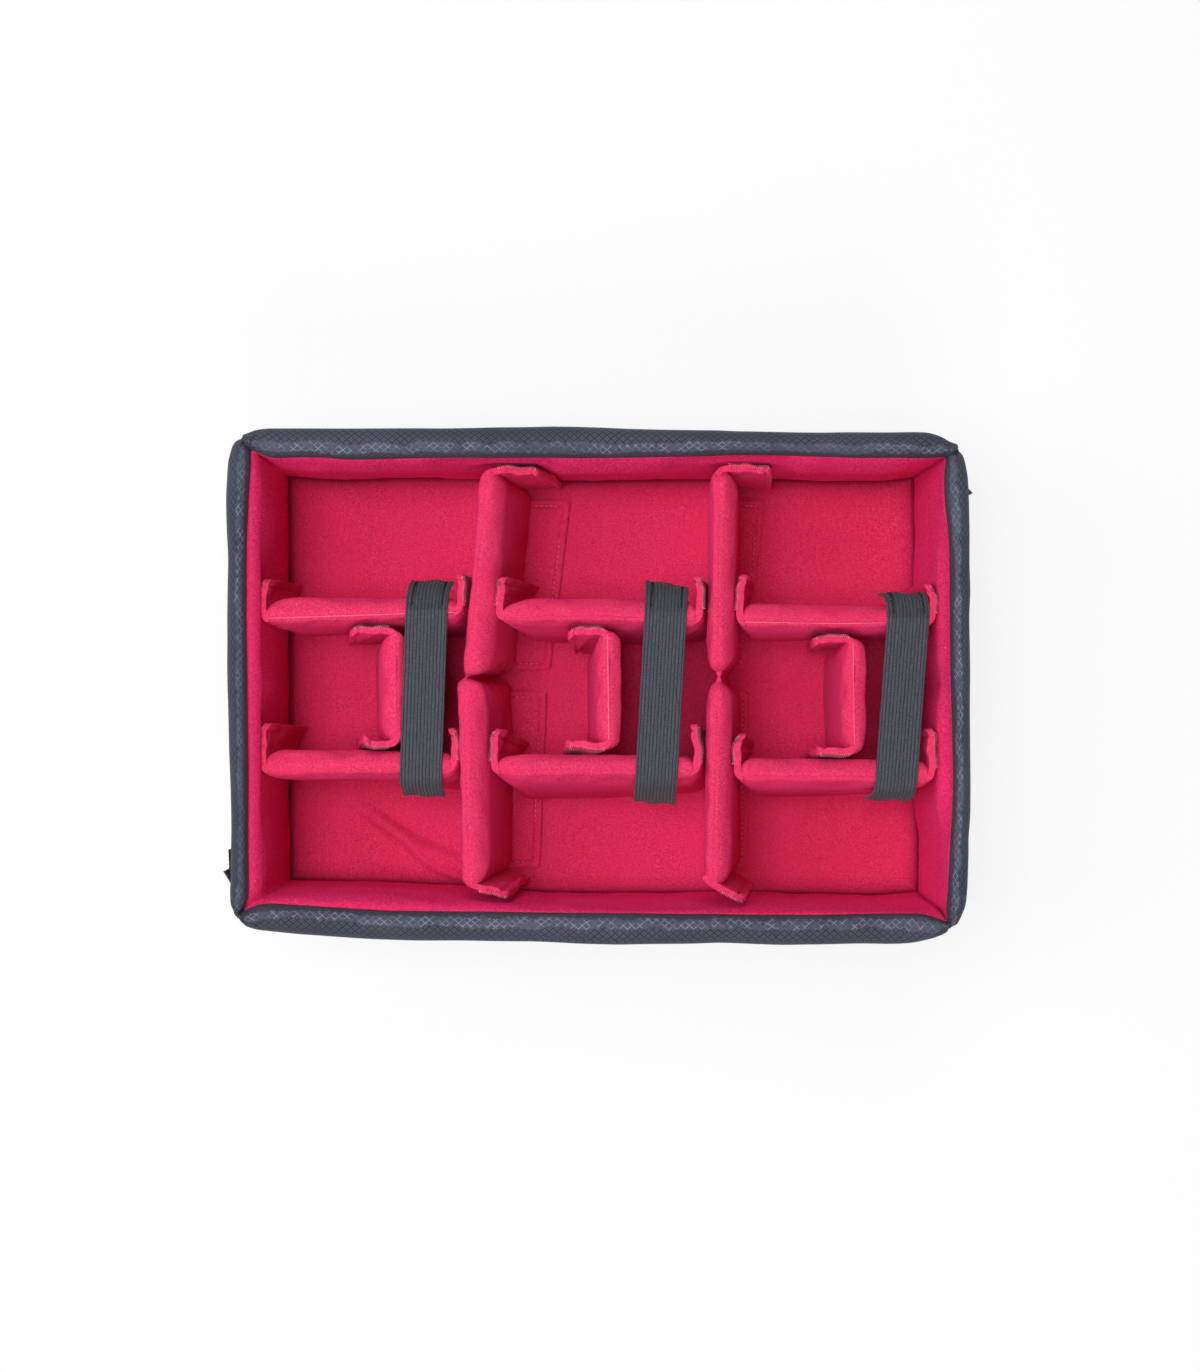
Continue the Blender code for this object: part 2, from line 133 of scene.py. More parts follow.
def apply(piece, kind, **settings):
    """Adds a modifier and applies it."""
    only(piece)
    added = piece.modifiers.new(kind.title(), kind)
    for key, value in settings.items():
        setattr(added, key, value)
    bpy.ops.object.modifier_apply(modifier=added.name)


@contextmanager
def editing(piece):
    """Edit mode with all of the piece selected."""
    only(piece)
    bpy.ops.object.mode_set(mode="EDIT")
    bpy.ops.mesh.select_all(action="SELECT")
    yield bpy.ops.mesh
    bpy.ops.object.mode_set(mode="OBJECT")


def face_outwards(piece):
    with editing(piece) as mesh:
        mesh.remove_doubles(threshold=1e-5)
        mesh.normals_make_consistent(inside=False)


def thicken(sheet, thickness, edge=None, segments=2):
    """Gives a sheet its thickness, half to each side, and a rounded edge."""
    apply(sheet, "SOLIDIFY", thickness=thickness, offset=0)
    face_outwards(sheet)
    if edge:
        apply(sheet, "BEVEL", width=edge, segments=segments, limit_method="ANGLE", angle_limit=math.radians(50))


def smooth(piece):
    only(piece)
    bpy.ops.object.shade_smooth()


def mark(piece, name, values):
    kept = piece.data.attributes.new(name, "FLOAT", "POINT")
    kept.data.foreach_set("value", np.asarray(values, dtype=np.float32))


def dress(piece, material):
    piece.data.materials.clear()
    piece.data.materials.append(material)


def settle(piece, material, node=None, body=None):
    """Dresses a piece in what it is made of, hides the CAD part it replaces and hangs it on the body it rides on."""
    dress(piece, material)
    if body:
        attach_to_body(piece, body)
    if node:
        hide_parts(node)


def wave(points, scale, seed=0):
    """Smooth noise from -1 to 1 at each point, the same on every run."""
    shift = Vector((seed * 7.31, seed * 3.17, seed * 5.83))
    return np.array([noise.noise(Vector(p) * scale + shift) for p in points])


def bell(distance, width):
    return np.exp(-((distance / width) ** 2))


def ease(value, start, end):
    share = np.clip((value - start) / (end - start), 0, 1)
    return share * share * (3 - 2 * share)


def corner_fall(radius, away):
    """How far a rounded corner falls back, at points that lie that far inside the end."""
    return radius - np.sqrt(np.maximum(radius**2 - np.clip(radius - away, 0, radius) ** 2, 0))


def rounded(knots, passes=3):
    """A polyline with its corners cut off again and again, its ends kept."""
    line = np.array(knots, float)
    for _ in range(passes):
        cut = np.empty((2 * len(line) - 2, line.shape[1]))
        cut[0::2] = line[:-1] * 0.75 + line[1:] * 0.25
        cut[1::2] = line[:-1] * 0.25 + line[1:] * 0.75
        line = np.vstack([line[:1], cut, line[-1:]])
    return line


def soften(ring, passes):
    """A closed line with each point drawn towards its two neighbours."""
    for _ in range(passes):
        ring = ring / 2 + (np.roll(ring, 1, axis=0) + np.roll(ring, -1, axis=0)) / 4
    return ring


# The rim's outline as the cloth lies, in millimetres: the north, west, south and east sides, then the corner
# that leads to each
OUTER_SIDES = (
    ((194.4, 147.6), (185.5, 148.0), (154.5, 148.0), (133.0, 147.8), (110.5, 148.2), (81.0, 148.7), (71.5, 149.4),
     (43.7, 149.6), (17.7, 149.9), (-8.8, 151.0), (-26.6, 151.6), (-45.6, 151.1), (-66.3, 150.9), (-87.2, 150.6),
     (-152.3, 150.4), (-192.4, 150.4)),
    ((-216.2, 131.0), (-217.3, 110.9), (-216.7, 90.4), (-216.0, 73.6), (-216.2, 62.4), (-216.7, 39.1), (-216.2, 0.0),
     (-214.6, -55.3), (-214.2, -84.0), (-214.6, -113.0), (-215.1, -121.5)),
    ((-195.0, -143.4), (-176.5, -145.3), (-149.4, -147.1), (-130.0, -148.3), (-110.6, -149.0), (-74.9, -149.4),
     (-38.0, -149.9), (-8.8, -151.2), (12.1, -151.6), (53.8, -150.9), (71.4, -150.5), (108.4, -151.7),
     (130.1, -151.3), (151.7, -150.8), (168.0, -151.0), (178.8, -150.7)),
    ((215.5, -120.3), (216.1, -109.5), (216.6, -98.6), (216.6, -87.8), (217.6, -76.9), (218.0, -55.3), (217.4, 0.0),
     (216.8, 40.4), (217.6, 55.0), (217.1, 71.7), (217.3, 87.5), (216.8, 107.3), (216.3, 119.8)),
)

OUTER_CORNERS = (
    ((216.3, 119.8), (215.6, 126.1), (214.4, 131.4), (213.2, 136.2), (211.5, 138.6), (208.0, 141.0), (203.0, 143.6),
     (198.8, 145.9), (194.4, 147.6)),
    ((-192.4, 150.4), (-197.5, 150.0), (-203.0, 148.3), (-207.8, 145.9), (-210.6, 144.2), (-212.6, 142.8),
     (-214.2, 138.4), (-216.2, 131.0)),
    ((-215.1, -121.5), (-214.6, -129.2), (-212.6, -133.6), (-209.5, -136.6), (-206.0, -140.3), (-203.0, -142.2),
     (-195.0, -143.4)),
    ((178.8, -150.7), (187.5, -149.6), (194.0, -147.7), (200.5, -145.2), (204.8, -142.9), (208.3, -141.6),
     (210.0, -140.0), (211.1, -136.6), (213.3, -132.3), (215.0, -126.8), (215.5, -120.3)),
)

# The rim's inner edge, where the red lining starts, side after side
INNER_SIDES = (
    ((204.2, 134.1), (195.5, 133.3), (185.3, 133.3), (153.9, 133.4), (122.3, 134.2), (101.6, 134.8), (80.7, 134.8),
     (59.7, 134.0), (1.6, 133.4), (-80.8, 133.2), (-115.0, 132.9), (-137.0, 132.2), (-150.0, 132.3), (-161.0, 133.4),
     (-175.0, 133.6), (-191.0, 133.0), (-198.5, 135.6), (-203.7, 138.4)),
    ((-203.7, 138.4), (-203.2, 129.2), (-204.7, 110.9), (-205.6, 90.0), (-205.9, 72.0), (-205.9, 38.7),
     (-204.9, -55.3), (-204.6, -122.0), (-205.6, -128.0), (-209.0, -132.6)),
    ((-209.0, -132.6), (-198.2, -127.9), (-190.2, -127.6), (-178.8, -128.4), (-159.3, -129.7), (-139.8, -131.0),
     (-120.5, -132.0), (-75.0, -132.2), (-30.0, -132.8), (12.0, -133.3), (71.4, -134.0), (124.8, -134.4),
     (157.5, -133.8), (188.8, -133.5), (196.5, -135.5), (204.8, -138.8)),
    ((204.8, -138.8), (204.1, -131.3), (205.0, -120.4), (206.0, -98.7), (207.4, -77.0), (207.9, -55.0), (207.0, -10.0),
     (206.2, 40.5), (206.2, 61.0), (205.7, 82.3), (205.0, 92.9), (203.6, 103.3), (202.9, 113.7), (202.9, 124.2),
     (204.2, 134.1)),
)

# The lining's foot at the floor
FLOOR_SIDES = (
    ((201.3, 132.8), (179.6, 130.4), (145.3, 130.2), (107.5, 132.2), (47.4, 131.6), (1.7, 130.8), (-28.0, 130.8),
     (-88.3, 132.7), (-125.7, 132.7), (-161.5, 130.9), (-197.8, 133.7)),
    ((-197.8, 133.7), (-197.3, 99.0), (-196.2, 60.0), (-196.5, -55.0), (-196.9, -84.0), (-196.3, -124.0)),
    ((-196.3, -124.0), (-184.6, -124.5), (-142.2, -125.4), (-81.9, -128.0), (-32.6, -131.9), (13.2, -132.7),
     (78.0, -131.9), (136.3, -132.8), (172.0, -134.0), (204.2, -131.8)),
    ((204.2, -131.8), (204.6, -107.8), (203.8, -78.3), (202.8, 0.0), (202.4, 89.9), (201.3, 132.8)),
)

OUTER_SIDES, INNER_SIDES, FLOOR_SIDES, OUTER_CORNERS = (
    [np.array(line) / 1000 for line in lines] for lines in (OUTER_SIDES, INNER_SIDES, FLOOR_SIDES, OUTER_CORNERS))
INWARD = np.array(((0, -1), (1, 0), (0, 1), (-1, 0)), float)


def along(line, shares):
    """Points at those shares of a polyline's length, the side directions there, and the length."""
    line = np.asarray(line, float)
    run = np.concatenate([[0], np.cumsum(np.linalg.norm(np.diff(line, axis=0), axis=1))])
    at = np.asarray(shares) * run[-1]

    def spots(where):
        return np.stack([np.interp(where, run, line[:, k]) for k in range(line.shape[1])], axis=1)

    near = spots(at + 1e-4) - spots(at - 1e-4)
    near /= np.maximum(np.linalg.norm(near, axis=1, keepdims=True), 1e-9)
    return spots(at), np.stack([-near[:, 1], near[:, 0]], axis=1), run[-1]


def lean(points, cross=True, own=None):
    """Points moved as the dividers lean: longs along X, crosses along Y, small dividers and straps by their own."""
    x, y, z = points.T
    up = np.clip((z - SEAT) / (DIVIDER_TOP - SEAT), 0, 1)

    def moved(table, spot):
        stations, tops, feet = zip(*table)
        foot = np.interp(spot, stations, feet)
        return foot + (np.interp(spot, stations, tops) - foot) * up

    def shares(spot, centres, reach):
        edges = (-reach, centres[0] - HALF_PAD, centres[0] + HALF_PAD,
                 centres[1] - HALF_PAD, centres[1] + HALF_PAD, reach)
        return np.interp(spot, edges, (0, 1, 1, 0, 0, 0)), np.interp(spot, edges, (0, 0, 0, 1, 1, 0))

    if own is None:
        first, second = shares(x, LONG_X, INNER_X)
        left = (LONG_LEAN[0][0], *BESIDE_LONG, LONG_LEAN[0][-1]) if cross else LONG_LEAN[0]
        move_x = first * moved(left, y) + second * moved(LONG_LEAN[1], y)
        if cross:
            move_x = move_x + WEST_FEET * (1 - up) * ease(x, -0.180, -0.196)
    else:
        move_x = own[1] + (own[0] - own[1]) * up
    move_y = 0
    if cross:
        lower, upper = shares(y, ROW_Y, INNER_Y)
        move_y = lower * moved(CROSS_LEAN[0], x) + upper * moved(CROSS_LEAN[1], x)
    return np.stack([x + move_x, y + move_y, z], axis=1)


# Node tools

def add(tree, kind, sockets=None, **settings):
    made = tree.nodes.new(kind)
    for key, value in settings.items():
        setattr(made, key, value)
    for key, value in (sockets or {}).items():
        if isinstance(value, bpy.types.NodeSocket):
            tree.links.new(value, made.inputs[key])
        else:
            made.inputs[key].default_value = value
    return made


def reckon(tree, operation, *values):
    return add(tree, "ShaderNodeMath", dict(enumerate(values)), operation=operation).outputs[0]


def times(tree, first, second):
    return reckon(tree, "MULTIPLY", first, second)


def spread(tree, value, low, high, to_low=0.0, to_high=1.0):
    return add(tree, "ShaderNodeMapRange", {0: value, 1: low, 2: high, 3: to_low, 4: to_high},
               interpolation_type="SMOOTHSTEP").outputs[0]


def blend_colours(tree, share, first, second):
    return add(tree, "ShaderNodeMix", {0: share, 6: first, 7: second}, data_type="RGBA").outputs[2]


def bumps(tree, height, distance, strength=1.0):
    return add(tree, "ShaderNodeBump", {"Height": height, "Distance": distance, "Strength": strength}).outputs[0]


def speckle(tree, vector, scale, detail=2.0, roughness=0.6, distortion=0.0):
    return add(tree, "ShaderNodeTexNoise", {"Vector": vector, "Scale": scale, "Detail": detail,
                                            "Roughness": roughness, "Distortion": distortion}).outputs[0]


def group(name, numbers, outputs):
    """A node group that takes a vector and some numbers and gives numbers: its tree and its inner sockets."""
    tree = bpy.data.node_groups.new(name, "ShaderNodeTree")
    for label in ("Vector", *numbers):
        kind = "NodeSocketVector" if label == "Vector" else "NodeSocketFloat"
        tree.interface.new_socket(label, in_out="INPUT", socket_type=kind)
    for label in outputs:
        tree.interface.new_socket(label, in_out="OUTPUT", socket_type="NodeSocketFloat")
    return tree, tree.nodes.new("NodeGroupInput").outputs


def give_out(tree, **values):
    """Joins a node group's values to its outputs, whose names have spaces for the underlines."""
    end = tree.nodes.new("NodeGroupOutput")
    for label, value in values.items():
        tree.links.new(value, end.inputs[label.replace("_", " ")])
    return tree


def use(tree, kept, sockets):
    return add(tree, "ShaderNodeGroup", sockets, node_tree=kept).outputs


def clear_tree(owner):
    owner.use_nodes = True
    owner.node_tree.nodes.clear()
    return owner.node_tree


def new_material(name, **shader):
    made = bpy.data.materials.new(name)
    tree = clear_tree(made)
    surface = add(tree, "ShaderNodeBsdfPrincipled", {key.replace("_", " "): value for key, value in shader.items()})
    add(tree, "ShaderNodeOutputMaterial", {0: surface.outputs[0]})
    return made, tree, surface


def shade(tree, surface, colour, normal):
    tree.links.new(colour, surface.inputs["Base Color"])
    tree.links.new(normal, surface.inputs["Normal"])


def fold_line(x, y, start, end, wide):
    """How near points lie to a fold's line, from 0 to 1, fading at both its ends, and how far off it they are."""
    way = np.subtract(end, start)
    reach = np.linalg.norm(way)
    way = way / reach
    run = ((x - start[0]) * way[0] + (y - start[1]) * way[1]) / reach
    off = (y - start[1]) * way[0] - (x - start[0]) * way[1] + 0.003 * np.sin(run * 3)
    fade = ease(run, -0.15, 0.25) * ease(run, 1.2, 0.85)
    return bell(off, wide) * fade, off, fade


def nap_group():
    """The brushed face of loop cloth: fine fibre clumps, a broad mottle, stray pale lint and the height."""
    tree, given = group("brushed nap", ["Fibre scale"], ["Tone", "Mottle", "Height", "Lint"])
    fine = speckle(tree, given["Vector"], given["Fibre scale"], 3.0, 0.75)
    clump = speckle(tree, given["Vector"], times(tree, given["Fibre scale"], 0.55), 2.0, 0.6, 0.6)
    mottle = speckle(tree, given["Vector"], 24.0, 4.0, 0.6, 0.8)
    tone = reckon(tree, "ADD", times(tree, fine, 0.6), times(tree, clump, 0.4))
    fluff = add(tree, "ShaderNodeTexVoronoi", {"Vector": given["Vector"], "Scale": 70.0}).outputs["Distance"]
    return give_out(tree, Tone=tone, Mottle=mottle, Height=tone, Lint=spread(tree, fluff, 0.050, 0.025))


def weave_group():
    """Fine crossing threads at a given count per metre, from two coordinates in metres."""
    tree, given = group("fine weave", ["Threads"], ["Height", "Tone"])
    parts = add(tree, "ShaderNodeSeparateXYZ", {0: given["Vector"]}).outputs
    turns = [reckon(tree, "SINE", times(tree, times(tree, parts[k], given["Threads"]), 2 * math.pi)) for k in (0, 1)]
    return give_out(tree, Height=times(tree, *turns), Tone=speckle(tree, given["Vector"], given["Threads"], 1.0))


def ripstop_group():
    """A net of heavier threads that cross in diamonds, and a fainter one between, from coordinates in metres."""
    tree, given = group("ripstop net", ["Cell width", "Cell height"], ["Thread", "Fine thread"])
    sway = speckle(tree, given["Vector"], 60.0, 2.0)
    parts = add(tree, "ShaderNodeSeparateXYZ", {0: given["Vector"]}).outputs
    wide = reckon(tree, "DIVIDE", parts[0], given["Cell width"])
    tall = reckon(tree, "DIVIDE", reckon(tree, "MULTIPLY_ADD", sway, 0.0018, parts[1]), given["Cell height"])
    heavy, fine = [], []
    for operation in ("ADD", "SUBTRACT"):
        slant = reckon(tree, operation, wide, tall)
        for shift, kept, width in ((0.0, heavy, 0.15), (0.5, fine, 0.13)):
            spot = reckon(tree, "FRACT", reckon(tree, "ADD", slant, shift))
            away = reckon(tree, "ABSOLUTE", reckon(tree, "SUBTRACT", spot, 0.5))
            kept.append(spread(tree, away, 0.5 - width, 0.5 - width * 0.3))
    return give_out(tree, Thread=reckon(tree, "MAXIMUM", *heavy), Fine_thread=reckon(tree, "MAXIMUM", *fine))


NAP, WEAVE, RIPSTOP = nap_group(), weave_group(), ripstop_group()
FIBRE_SCALE = 1500.0
# The pale pink is the cloth's own lint; the dark red is painted shade, for creases and contact lines
LINT_PINK, PAINTED_SHADE_RED = (0.92, 0.34, 0.42, 1), (0.20, 0.001, 0.022, 1)
STRAP_WIDTH, STRAP_THICK, STRAP_RIBS = 0.0245, 0.0016, 12
STRAP_PICKS = 900


def object_place(tree):
    return add(tree, "ShaderNodeTexCoord").outputs["Object"]


def cloth_place(tree):
    return add(tree, "ShaderNodeUVMap", uv_map="cloth").outputs[0]


def loop_cloth(name, deep, middle, bright, seam=None, stretch=(1, 1, 1)):
    """Brushed loop cloth, with painted shade where the piece's crease attribute asks for it, and a sewn seam in the
    given colour.
    """
    made, tree, surface = new_material(name, Roughness=0.95, Specular_IOR_Level=0.0, Sheen_Weight=0.30,
                                       Sheen_Roughness=0.50, Sheen_Tint=(1.0, 0.05, 0.34, 1))
    where = add(tree, "ShaderNodeMapping", {"Vector": object_place(tree), "Scale": stretch}).outputs[0]
    nap = use(tree, NAP, {"Vector": where, "Fibre scale": FIBRE_SCALE})
    tone = blend_colours(tree, spread(tree, nap["Tone"], 0.34, 0.66), deep, bright)
    calm = blend_colours(tree, spread(tree, nap["Mottle"], 0.30, 0.70, 0.10, 0.50), tone, middle)
    colour = blend_colours(tree, times(tree, nap["Lint"], 0.25), calm, LINT_PINK)
    # Painted shade: the crease attribute marks where shade falls, and there the cloth turns this dark red
    dark = add(tree, "ShaderNodeAttribute", attribute_name="crease").outputs["Fac"]
    colour = blend_colours(tree, times(tree, dark, 0.85), colour, PAINTED_SHADE_RED)
    if seam:
        shown = add(tree, "ShaderNodeAttribute", attribute_name="seam").outputs["Fac"]
        colour = blend_colours(tree, spread(tree, shown, 0.45, 0.95, 0.0, 0.8), colour, seam)
    shade(tree, surface, colour, bumps(tree, nap["Height"], 0.0007, 0.8))
    return made


def ripstop_cloth(name, rolled):
    """Grey ripstop; where it is rolled over the rim its threads carry a painted highlight on the bend, and the cloth
    has painted shade where it turns in below it.

    The rolled cloth's second coordinate is its height on the wall, and then its run over the rim."""
    made, tree, surface = new_material(name, Roughness=0.55, Specular_IOR_Level=0.16, Sheen_Weight=0.05)
    where = cloth_place(tree)
    net = use(tree, RIPSTOP, {"Vector": where, "Cell width": 0.0048, "Cell height": 0.0039})
    weave = use(tree, WEAVE, {"Vector": where, "Threads": 2600.0})
    patch = speckle(tree, where, 55.0, 3.0, 0.6, 0.5)
    broad = speckle(tree, where, 16.0, 3.0, 0.55)
    base = blend_colours(tree, weave["Tone"], (0.035, 0.039, 0.054, 1), (0.062, 0.068, 0.092, 1))
    base = blend_colours(tree, spread(tree, broad, 0.35, 0.65, 0.0, 0.35), base, (0.094, 0.102, 0.138, 1))
    lines = (0.014, 0.016, 0.026, 1)
    strong = spread(tree, patch, 0.30, 0.58, 1.0, 0.78)
    if rolled:
        up = add(tree, "ShaderNodeSeparateXYZ", {0: where}).outputs[1]
        ragged = reckon(tree, "MULTIPLY_ADD", patch, 0.0100, up)
        bend = times(tree, spread(tree, ragged, 0.1480, 0.1498), spread(tree, ragged, 0.1556, 0.1538))
        # Painted highlight: a paler patch of cloth on the bend, where the roll faces the lamps
        painted_highlight_patch = times(tree, bend, spread(tree, patch, 0.35, 0.62, 0.0, 0.16))
        base = blend_colours(tree, painted_highlight_patch, base, (0.150, 0.162, 0.222, 1))
        # Painted shade where the roll turns in and down to the lining
        base = blend_colours(tree, spread(tree, up, 0.1512, 0.1545, 0.0, 0.55), base, (0.024, 0.027, 0.038, 1))
        # Painted glint: the threads on the bend turn pale, in random patches
        painted_glint_patches = times(tree, spread(tree, speckle(tree, where, 150.0, 2.0), 0.40, 0.60, 0.10, 0.80),
                     spread(tree, speckle(tree, where, 11.0, 1.0), 0.36, 0.58, 0.40, 1.0))
        pale = times(tree, times(tree, spread(tree, net["Thread"], 0.40, 0.95), painted_glint_patches), bend)
        # The dark threads are fainter down the outside and over the roll's outer edge, a painted highlight there, and
        # give way on the bend to the painted glint
        strong = times(tree, strong, spread(tree, up, 0.1290, 0.1335, 0.45, 1.0))
        strong = times(tree, strong, spread(tree, bend, 0.25, 0.70, 1.0, 0.12))
    faint = times(tree, net["Fine thread"], times(tree, strong, 0.34))
    colour = blend_colours(tree, times(tree, net["Thread"], strong), blend_colours(tree, faint, base, lines), lines)
    # On the rolled rim the painted glint is laid over the threads
    if rolled:
        colour = blend_colours(tree, pale, colour, (0.24, 0.26, 0.33, 1))
    height = reckon(tree, "ADD", times(tree, net["Thread"], 0.8), times(tree, weave["Height"], 0.25))
    shade(tree, surface, colour, bumps(tree, height, 0.00020, 0.7))
    return made


def ribbed_elastic(name, groove, low, high):
    made, tree, surface = new_material(name, Roughness=0.75, Specular_IOR_Level=0.10, Sheen_Weight=0.08)
    where = cloth_place(tree)
    parts = add(tree, "ShaderNodeSeparateXYZ", {0: where}).outputs
    turn = reckon(tree, "COSINE", times(tree, parts[0], 2 * math.pi * STRAP_RIBS / STRAP_WIDTH))
    rib = spread(tree, turn, -0.85, 0.15)
    pick = reckon(tree, "SINE", times(tree, parts[1], 2 * math.pi * STRAP_PICKS))
    tone = speckle(tree, where, 1400.0, 2.0)
    thread = blend_colours(tree, spread(tree, tone, 0.3, 0.7), low, high)
    # Painted shade: the grooves between the ribs take the dark groove colour
    colour = blend_colours(tree, rib, groove, thread)
    height = reckon(tree, "ADD", rib, times(tree, pick, 0.25))
    shade(tree, surface, colour, bumps(tree, height, 0.00025, 0.9))
    return made


def plain_weave(name, dark, light, threads):
    made, tree, surface = new_material(name, Roughness=0.85, Specular_IOR_Level=0.08, Sheen_Weight=0.05)
    where = object_place(tree)
    weave = use(tree, WEAVE, {"Vector": where, "Threads": threads})
    colour = blend_colours(tree, weave["Tone"], dark, light)
    shade(tree, surface, colour, bumps(tree, weave["Height"], 0.00015, 0.6))
    return made


def cell_foam(name):
    made, tree, surface = new_material(name, Roughness=0.95, Specular_IOR_Level=0.1)
    where = object_place(tree)
    pores = add(tree, "ShaderNodeTexVoronoi", {"Vector": where, "Scale": 900.0}).outputs["Distance"]
    tone = speckle(tree, where, 60.0)
    colour = blend_colours(tree, times(tree, pores, tone), (0.05, 0.05, 0.055, 1), (0.17, 0.17, 0.18, 1))
    shade(tree, surface, colour, bumps(tree, pores, 0.0004, 0.6))
    return made


CLOTH_RED = loop_cloth("brushed loop cloth", (0.66, 0.010, 0.085, 1), (0.87, 0.034, 0.145, 1),
                       (0.96, 0.078, 0.215, 1))
PAD_RED = loop_cloth("raised loop cloth", (0.61, 0.013, 0.078, 1), (0.77, 0.031, 0.116, 1),
                     (0.88, 0.076, 0.172, 1), (0.97, 0.36, 0.42, 1))
WALL_RED = loop_cloth("ribbed loop cloth", (0.60, 0.008, 0.082, 1), (0.86, 0.024, 0.132, 1),
                      (0.96, 0.066, 0.200, 1), stretch=(1, 1, 0.30))
RIPSTOP_RIM = ripstop_cloth("grey ripstop, rolled", True)
RIPSTOP_GREY = ripstop_cloth("grey ripstop", False)
ELASTIC = ribbed_elastic("ribbed elastic", (0.008, 0.009, 0.011, 1), (0.042, 0.045, 0.053, 1),
                         (0.084, 0.089, 0.102, 1))
ELASTIC_HEM = ribbed_elastic("ribbed elastic, sewn end", (0.009, 0.010, 0.012, 1), (0.030, 0.034, 0.039, 1),
                             (0.062, 0.070, 0.078, 1))
TAPE_BLACK = plain_weave("black tape", (0.010, 0.010, 0.012, 1), (0.030, 0.030, 0.034, 1), 1100.0)
HOOK_TAPE = plain_weave("hook tape", (0.22, 0.006, 0.030, 1), (0.44, 0.03, 0.09, 1), 700.0)
PALE_THREAD = plain_weave("pale thread", (0.62, 0.26, 0.32, 1), (0.90, 0.62, 0.66, 1), 2500.0)
BLACK_THREAD = plain_weave("black thread", (0.006, 0.006, 0.008, 1), (0.020, 0.020, 0.024, 1), 2500.0)
RED_THREAD = plain_weave("red thread", (0.66, 0.13, 0.22, 1), (0.90, 0.36, 0.46, 1), 2500.0)
FOAM = cell_foam("closed cell foam")


# Pads

SEAM_HALF = 0.0010
SWELL = 0.0020

# Where each seam lies off its panel's middle, at the panel's two ends
CROSS_SEAMS = (((-0.004, -0.002), (-0.003, -0.002), (-0.004, -0.003)),
               ((-0.005, -0.001), (-0.004, -0.004), (-0.004, -0.002)))
LONG_SEAMS = (((-0.003, -0.006), (-0.006, -0.003)), ((-0.003, -0.001), (-0.001, -0.003)))
SMALL_SEAMS = ((-0.002, -0.001), (0.0, 0.001), (0.0, 0.001))
CROSS_BLANK_SEAM, SMALL_BLANK_SEAM = -0.0020, 0.0010

# How far each end of a cross pad is drawn in on its two flanks: left end, then right end
CROSS_RUNS = (
    (((0.013, 0.012), (0.008, 0.008)), ((0.009, 0.014), (0.010, 0.008)), ((0.011, 0.010), (0.010, 0.007))),
    (((0.016, 0.008), (0.012, 0.007)), ((0.026, 0.011), (0.010, 0.008)), ((0.007, 0.006), (0.009, 0.007))),
)
SMALL_RUNS = ((0.012, 0.006), (0.012, 0.006))

# The same for a long panel: at its wall, and at the hinge of each divider
WALL_RUN, HINGE_RUNS = (0.015, 0.010), ((0.0045, 0.003), (0.013, 0.011))

# Radius of a pad's top and foot corners
CROSS_CORNERS, LONG_CORNERS = (0.0045, 0.014), ((0.0045, 0.011), (0.008, 0.017))

# How much shorter a pad is at an end, where its tab folds off; the first divider's panels meet at the hinge
END_TRIM, HINGE_TRIMS, SHORT_END = 0.0022, (-0.0018, 0), 0.0105

# How pale the seams are
FAINT_SEAM, CLEAR_SEAM, SMALL_SEAM_TONES = 0.3, 0.85, (0.60, 0.85, 0.78)


def stuffed_blank(name, length, thick, height, seam):
    """A pad's blank round the origin, along X: a bevelled block, stuffed as cloth, with a seam sewn along its nose."""
    spare = 1.8 * SWELL
    blank = block(name, (length - spare, thick - spare, height - spare))
    with editing(blank) as mesh:
        mesh.bevel(offset=0.42 * (thick - spare), segments=4, profile=0.5, affect="EDGES")
    blank.data.remesh_voxel_size = 0.0036
    bpy.ops.object.voxel_remesh()
    stuff(blank, seam)
    apply(blank, "SUBSURF", levels=1, render_levels=1)
    sew_seam(blank, seam, length, height)
    smooth(blank)
    return blank


def stuff(blank, seam):
    """Blows the blank up a little as cloth, held at its seam, and keeps the moves small."""
    rest = points_of(blank)
    low, high = rest.min(axis=0), rest.max(axis=0)
    on_seam = (abs(rest[:, 1] - seam) < 0.0025) & (
        (rest[:, 2] > high[2] - 0.003) | (rest[:, 0] < low[0] + 0.003) | (rest[:, 0] > high[0] - 0.003))
    held = blank.vertex_groups.new(name="held")
    held.add([int(k) for k in np.nonzero(on_seam)[0]], 1.0, "REPLACE")
    cloth = blank.modifiers.new("stuffing", "CLOTH")
    cloth.settings.quality = 5
    cloth.settings.use_pressure = True
    cloth.settings.uniform_pressure_force = 4
    cloth.settings.shrink_min = -0.02
    cloth.settings.effector_weights.gravity = 0
    cloth.settings.vertex_group_mass = "held"
    cloth.point_cache.frame_start, cloth.point_cache.frame_end = 1, 20
    for step in range(1, 21):
        bpy.context.scene.frame_set(step)
    swollen = blank.evaluated_get(bpy.context.evaluated_depsgraph_get())
    flat = np.empty(len(swollen.data.vertices) * 3)
    swollen.data.vertices.foreach_get("co", flat)
    shift = flat.reshape(-1, 3) - rest
    reach = np.maximum(np.linalg.norm(shift, axis=1, keepdims=True), 1e-9)
    blank.modifiers.clear()
    blank.vertex_groups.clear()
    place(blank, rest + shift / reach * SWELL * np.tanh(reach / SWELL))
    bpy.context.scene.frame_set(1)


